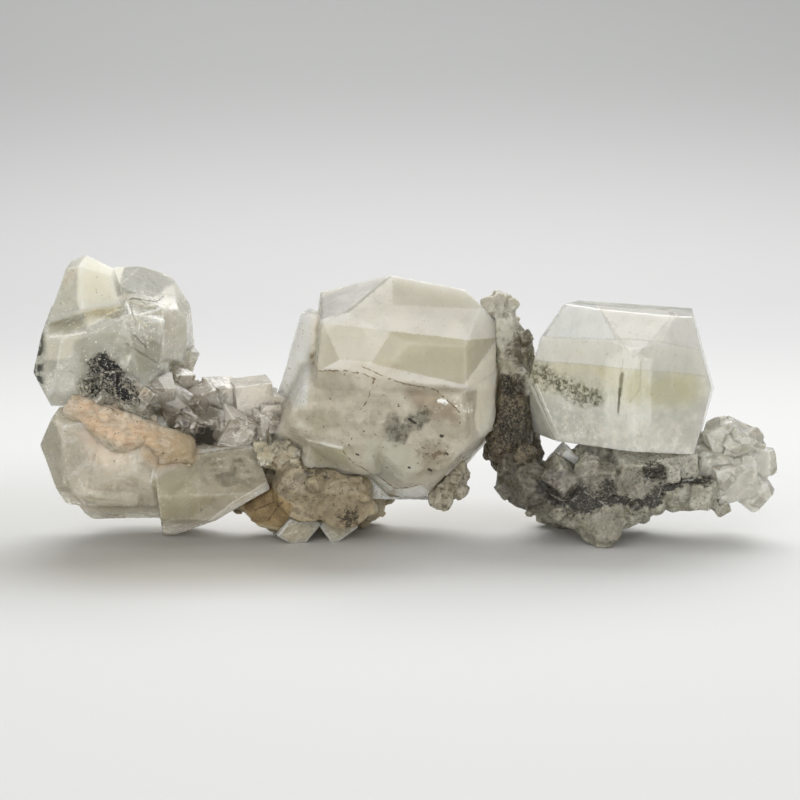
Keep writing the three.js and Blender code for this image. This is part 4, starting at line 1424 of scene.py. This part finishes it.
def brown_look(paint):
    """A smooth stained disc in front, a warm broken plate beside it, druse above."""
    disc = paint.patch(
        [
            (-20.2, 10.6), (-17.6, 12.6), (-11, 12.6), (-5.0, 9.8), (-4.4, 7.6),
            (-6.8, 3.0), (-9.2, 2.0), (-12.4, 3.4), (-18.5, 6.2),
        ],
        0.3,
    )
    fan = paint.patch([(-25.2, 6.8), (-20.6, 9.2), (-16.6, 6.4), (-18.4, 2.4), (-22.6, 3.0)], 0.2)
    fan = fan * paint.y.rise(-3, -1, 1.0, 0.0)
    colour = veined(paint, (248, 238, 212), (226, 214, 184), (124, 108, 78), -0.45)
    colour = paint.blend(colour, (166, 150, 116), paint.z.rise(8.0, 11.0, 0.75, 0.0))
    clouds = paint.noise(1.6, detail=8, sharpness=0.72).rise(0.42, 0.58)
    lit = paint.vector("DOT_PRODUCT", paint.place, (0.7, 0.0, -0.7)).rise(-18, -8)
    rim = paint.lines([(-20.3, 9.6), (-19.4, 8.0), (-18.0, 7.0), (-15.7, 6.2)], 0.45)
    dots = paint.spots(
        ((-13.8, -9, 10.3), 1.7), ((-8.1, -8, 10.3), 1.2), ((-8.2, -8, 4.2), 1.4), ((-11.1, -9, 8.0), 0.7)
    )
    speckle = paint.noise(0.7, detail=8, sharpness=0.76, shift=5)
    dirt = speckle + dots * 0.16
    rust = paint.near((-7.6, -8, 12.8), 1.7, (0.8, 0.3, 1.2))
    smooth = paint.coats(
        paint.blend((128, 116, 92), (172, 160, 134), clouds),
        ((178, 163, 134), lit * 0.5),
        ((192, 180, 152), rim * 0.8),
        ((92, 78, 54), dirt.rise(0.54, 0.6) * 0.7),
        ((44, 36, 24), dirt.rise(0.61, 0.65) * 0.95),
        ((118, 88, 50), rust * speckle.rise(0.42, 0.5) * 0.8),
    )
    colour = paint.blend(colour, smooth, disc * 0.92)
    rays = paint.strokes(0.16, [(-18.2, 7.0), (-22.6, 5.0)], [(-18.2, 7.0), (-20.6, 3.5)])
    warm = paint.coats(
        paint.blend((140, 118, 80), (172, 148, 106), paint.noise(1.4, detail=5).rise(0.35, 0.65)),
        ((92, 70, 44), rays * 0.8),
        ((66, 50, 32), paint.mark("ridge") * 0.6),
    )
    above = paint.z.rise(12.0, 14.0) * paint.y.rise(-3, -5)
    paint.coarse = disc.rise(0.0, 1.0, 1.0, 0.35)
    paint.grit = 0.2
    return paint.blend(colour, warm, fan), paint.noise(2).rise(0.3, 0.7, 0.2, 0.45), above * 0.3


# %% Stilbite
def stilbite_look(paint):
    """Silky and waxy: peach along its middle, stone colour at its border, tan at its right end."""
    silk = paint.noise(1.6, detail=6, sharpness=0.6, stretch=(0.5, 1, 1.6)).rise(0.38, 0.62)
    peach = paint.blend((212, 182, 148), (230, 202, 170), silk)
    peach = paint.blend(peach, (200, 170, 130), paint.x.rise(-40, -35) * 0.9)
    clouds = paint.noise(1.0, detail=6, shift=4).rise(0.42, 0.58)
    edge = paint.blend((184, 176, 156), (214, 204, 186), clouds)
    middle = [(-50, 20.8), (-46.5, 20.2), (-43.3, 19.0), (-39.5, 17.4), (-36, 16.0), (-32.5, 14.6)]
    spine = paint.lines(middle, 3.4, paint.ragged)
    patchy = paint.noise(2.4, detail=6, sharpness=0.6, shift=13).rise(0.42, 0.56, 0.45, 0.9)
    streaks = paint.noise(0.8, detail=7, sharpness=0.7, shift=21, stretch=(0.5, 1, 1.5))
    colour = paint.coats(
        edge,
        (peach, spine * patchy * paint.x.rise(-49.5, -47.5, 0.3, 1.0)),
        ((232, 218, 198), streaks.rise(0.53, 0.6) * 0.5),
        ((170, 140, 108), streaks.rise(0.46, 0.4) * 0.5),
        ((186, 170, 138), paint.x.rise(-36, -31.5) * 0.7),
        ((170, 146, 116), paint.mark("seam") * 0.5),
        ((90, 66, 44), paint.pits(0.5, 0.95)),
    )
    return colour, paint.noise(2).rise(0.3, 0.7, 0.4, 0.6), 0.0


# %% Build a druzy piece
CRUST = ((3.0, 0.12), (1.2, 0.16), (0.6, 0.2))


def crust_piece(
    node, finish, voxel=0.28, scales=CRUST, lumps=(), grains=None, chips=None, worn=0, swell=0.0
):
    """Lumps go in first, then the form is resampled, worn, swollen a little, chipped and grained."""
    form = node_copy(node)
    for lump in lumps:
        add_lumps(form, **lump)
    skin = resampled(form, voxel)
    form.free()
    if worn:
        soften(skin, worn)
    skin.normal_update()
    for point in skin.verts:
        point.co += point.normal * swell * MM
    chip(skin, scales, chips)
    mark_bends(skin)
    if grains:
        add_grains(skin, **grains)
    add_piece(skin, node, finish)


crust_piece(
    "arm_column", druse_finish("arm_column", column_look),
    lumps=(
        dict(count=30, sizes=(0.8, 1.7), seed=3, sink=0.75, boxy=True, where=lambda place: place.z < 25),
        dict(count=22, sizes=(1.3, 2.2), seed=31, sink=0.72, where=lambda place: 25 < place.z < 32.5),
        dict(
            count=20, sizes=(1.2, 1.9), seed=34, sink=0.55, boxy=True,
            where=lambda place: place.z > 22 and place.x < 15.0,
        ),
        dict(count=80, sizes=(0.35, 0.7), seed=32, sink=0.4, boxy=True, where=lambda place: place.z < 25),
        dict(
            count=26, sizes=(1.1, 2.0), seed=33, sink=0.7,
            where=lambda place: place.z < 13.5 and place.x < 17.5,
        ),
    ),
    chips=lambda place: 1.3 - 0.9 * ease(place.z, 24, 27),
)
crust_piece(
    "arm_foot", druse_finish("arm_foot", foot_look),
    lumps=(
        dict(count=36, sizes=(1.4, 2.8), seed=5, sink=0.8, boxy=True, where=lambda place: 7 < place.z < 12),
        dict(
            count=50, sizes=(1.2, 2.4), seed=51, sink=0.78,
            where=lambda place: place.z <= 8 and place.x < 43,
        ),
        dict(count=110, sizes=(0.35, 0.8), seed=52, sink=0.4, boxy=True, where=lambda place: place.z <= 8),
        dict(
            count=24, sizes=(1.2, 2.2), seed=53, sink=0.6,
            where=lambda place: place.z > 8 and place.x < 21,
        ),
    ),
    scales=((3.0, 0.12), (1.2, 0.14), (0.6, 0.12)),
)
crust_piece(
    "grey_knob", druse_finish("grey_knob", grey_knob_look), 0.25,
    lumps=(
        dict(count=16, sizes=(0.7, 1.3), seed=7, sink=0.75, boxy=True),
        dict(count=12, sizes=(1.2, 1.9), seed=72, sink=0.6, boxy=True, where=lambda place: place.x < 15.6),
        dict(count=40, sizes=(0.3, 0.6), seed=71, sink=0.4, boxy=True),
    ),
)
crust_piece(
    "brown_matrix", druse_finish("brown_matrix", brown_look, 1.4, 0.8),
    scales=((2.4, 0.06), (1.0, 0.08), (0.6, 0.1)),
    lumps=(
        dict(
            count=40, sizes=(0.8, 1.8), seed=101, sink=0.7, boxy=True,
            where=lambda place: place.z > 12 or place.y > -2,
        ),
    ),
    worn=4,
    chips=lambda place: 0.5 if place.z < 11.5 and place.y < -2 else 1.6,
    grains=dict(count=260, sizes=(0.3, 0.9), seed=10, where=lambda place: place.z > 11.5 or place.y > -3),
)
crust_piece(
    "stilbite", druse_finish("stilbite", stilbite_look, 1.8, 0.9), 0.25,
    scales=((1.6, 0.1), (0.8, 0.1)),
    lumps=[dict(count=26, sizes=(0.8, 1.7), seed=111, sink=0.9)],
    worn=10,
    swell=0.4,
)

# %% [markdown]
# ## Clusters of clear crystals
# The bridge between the left crystals and the middle one, and the end of the arm, are clusters
# whose blocks can be told apart. They get more blocks sunk into them and keep their flat faces,
# so they take the finish of the clear crystals, with the lines between the blocks painted darker.

# %% Bridge, end cluster and dark pocket
def bridge_look(paint):
    """Clear blocks on the right and on top, darker and dirtier to the left and below."""
    look = glassy(paint, (222, 213, 196), 0.42, 0.02, shift=7)
    flaws = paint.noise(1.0, detail=6, sharpness=0.72, shift=4)
    # The high end of the flaws is white flecks painted as glints; the low end is dark flecks.
    look.lay_pair(
        flaws, (0.53, 0.58, 0.8, (250, 248, 240), 0.95, 0.15), (0.47, 0.42, 0.7, (116, 106, 86), 0.85, 0.2)
    )
    look.lay(paint.cleavage(0.1, 0.1, shift=3) * 0.7, (244, 242, 234), 0.95, 0.2)
    own = paint.lots(1.9, shift=5, place=paint.uneven)
    look.lay_pair(own, (0.6, 0.7, 0.6, (248, 245, 236), 0.75), (0.36, 0.26, 0.55, (132, 122, 102), 0.4))
    dim = paint.x.rise(-28.5, -26.5, 1.0, 0.0) * paint.z.rise(20, 24, 1.0, 0.25)
    look.lay(dim * 0.9, (128, 117, 98), 0.5)
    right = paint.x.rise(-27.5, -26.0) * paint.z.rise(19, 20.5)
    look.lay(right * 0.8, (240, 233, 220), 0.6)
    # A hole painted as a dark patch: partly its own dark colour and partly the shade inside it.
    corners = [(-31.6, 17.4), (-29.2, 18.6), (-27.8, 17.0), (-28.6, 14.0), (-31.6, 14.0)]
    shaded_hole = paint.patch(corners, 0.5, paint.ragged)
    look.lay(shaded_hole * paint.y.rise(-6, -4, 1.0, 0.0) * 0.95, (30, 26, 20), 1.0, 0.5)
    look.lay(paint.pits(0.5, 0.4, shift=2) * dim, (60, 52, 40), 1.0, 0.5)
    look.lay(paint.pits(0.35, 0.95, shift=6), (60, 52, 40), 1.0, 0.5)
    return look


def end_look(paint):
    look = glassy(paint, (228, 225, 213), 0.56, 0.04, shift=9)
    own = paint.lots(2.2, shift=5, place=paint.uneven)
    look.lay_pair(own, (0.6, 0.7, 0.45, (246, 244, 238), 0.75), (0.36, 0.26, 0.4, (180, 175, 160), 0.4))
    flaws = paint.noise(1.2, detail=6, sharpness=0.7, shift=6)
    look.lay_pair(
        flaws, (0.52, 0.66, 0.5, (242, 240, 231), 0.9, 0.2), (0.46, 0.34, 0.4, (180, 174, 156), 0.8, 0.2)
    )
    look.lay(paint.pits(0.35, 0.9, shift=2) * 0.8, (110, 102, 82), 1.0, 0.4)
    return look


def pocket_look(paint):
    """Grey and half clear at its border, black and speckled with small pale crystals inside."""
    look = glassy(paint, (176, 172, 156), 0.66, 0.1, shift=2)
    flaws = paint.noise(0.7, detail=7, sharpness=0.75, shift=8)
    look.lay_pair(
        flaws, (0.5, 0.62, 0.6, (222, 218, 206), 0.95, 0.2), (0.48, 0.36, 0.6, (110, 104, 88), 0.9, 0.3)
    )
    pink = paint.near((-38.0, -12, 24.6), 1.8)
    look.lay(pink * 0.6, (198, 180, 158), 0.9)
    lay_ore(paint, look)
    return look


# %% Build a cluster
CRISP = 0.45


def cluster_piece(node, finish, voxel, lumps, scales=(), broken=None):
    form = node_copy(node)
    for lump in lumps:
        add_lumps(form, boxy=True, **lump)
    surface = BVHTree.FromBMesh(form)
    skin = resampled(form, voxel)
    settle(skin, surface)
    form.free()
    if scales:
        chip(skin, scales, broken)
    mark_bends(skin, 1)
    for edge in skin.edges:
        edge.smooth = edge.calc_face_angle(0) < CRISP
    add_piece(skin, node, finish)


cluster_piece(
    "bridge_crystals",
    crystal_finish(
        "bridge_crystals", bridge_look, (230, 222, 204), 36,
        scatter=1.4, ridge=0.9, seam=1.0, dirt=(76, 66, 50),
    ),
    0.2,
    lumps=(
        dict(count=14, sizes=(1.3, 2.2), seed=12, sink=0.5, where=lambda place: place.z < 21),
        dict(count=26, sizes=(0.5, 1.1), seed=15, sink=0.5, where=lambda place: place.z < 21),
    ),
)
cluster_piece(
    "end_cluster",
    crystal_finish(
        "end_cluster", end_look, (230, 228, 212), 24, scatter=1.2, ridge=0.35, seam=1.0, dirt=(104, 96, 76)
    ),
    0.2,
    lumps=(
        dict(count=10, sizes=(1.2, 2.0), seed=13, sink=0.45),
        dict(count=18, sizes=(0.5, 1.0), seed=14, sink=0.5),
    ),
)
cluster_piece(
    "left_druse",
    crystal_finish(
        "left_druse", pocket_look, (222, 212, 188), 60, scatter=1.6, ridge=0.7, seam=1.0, dirt=(40, 36, 28)
    ),
    0.2,
    lumps=(
        dict(
            count=30, sizes=(0.5, 1.1), seed=91, sink=0.75,
            where=lambda place: place.x > -45 or place.z > 23.5,
        ),
    ),
    scales=((1.6, 0.16), (0.7, 0.2)),
)
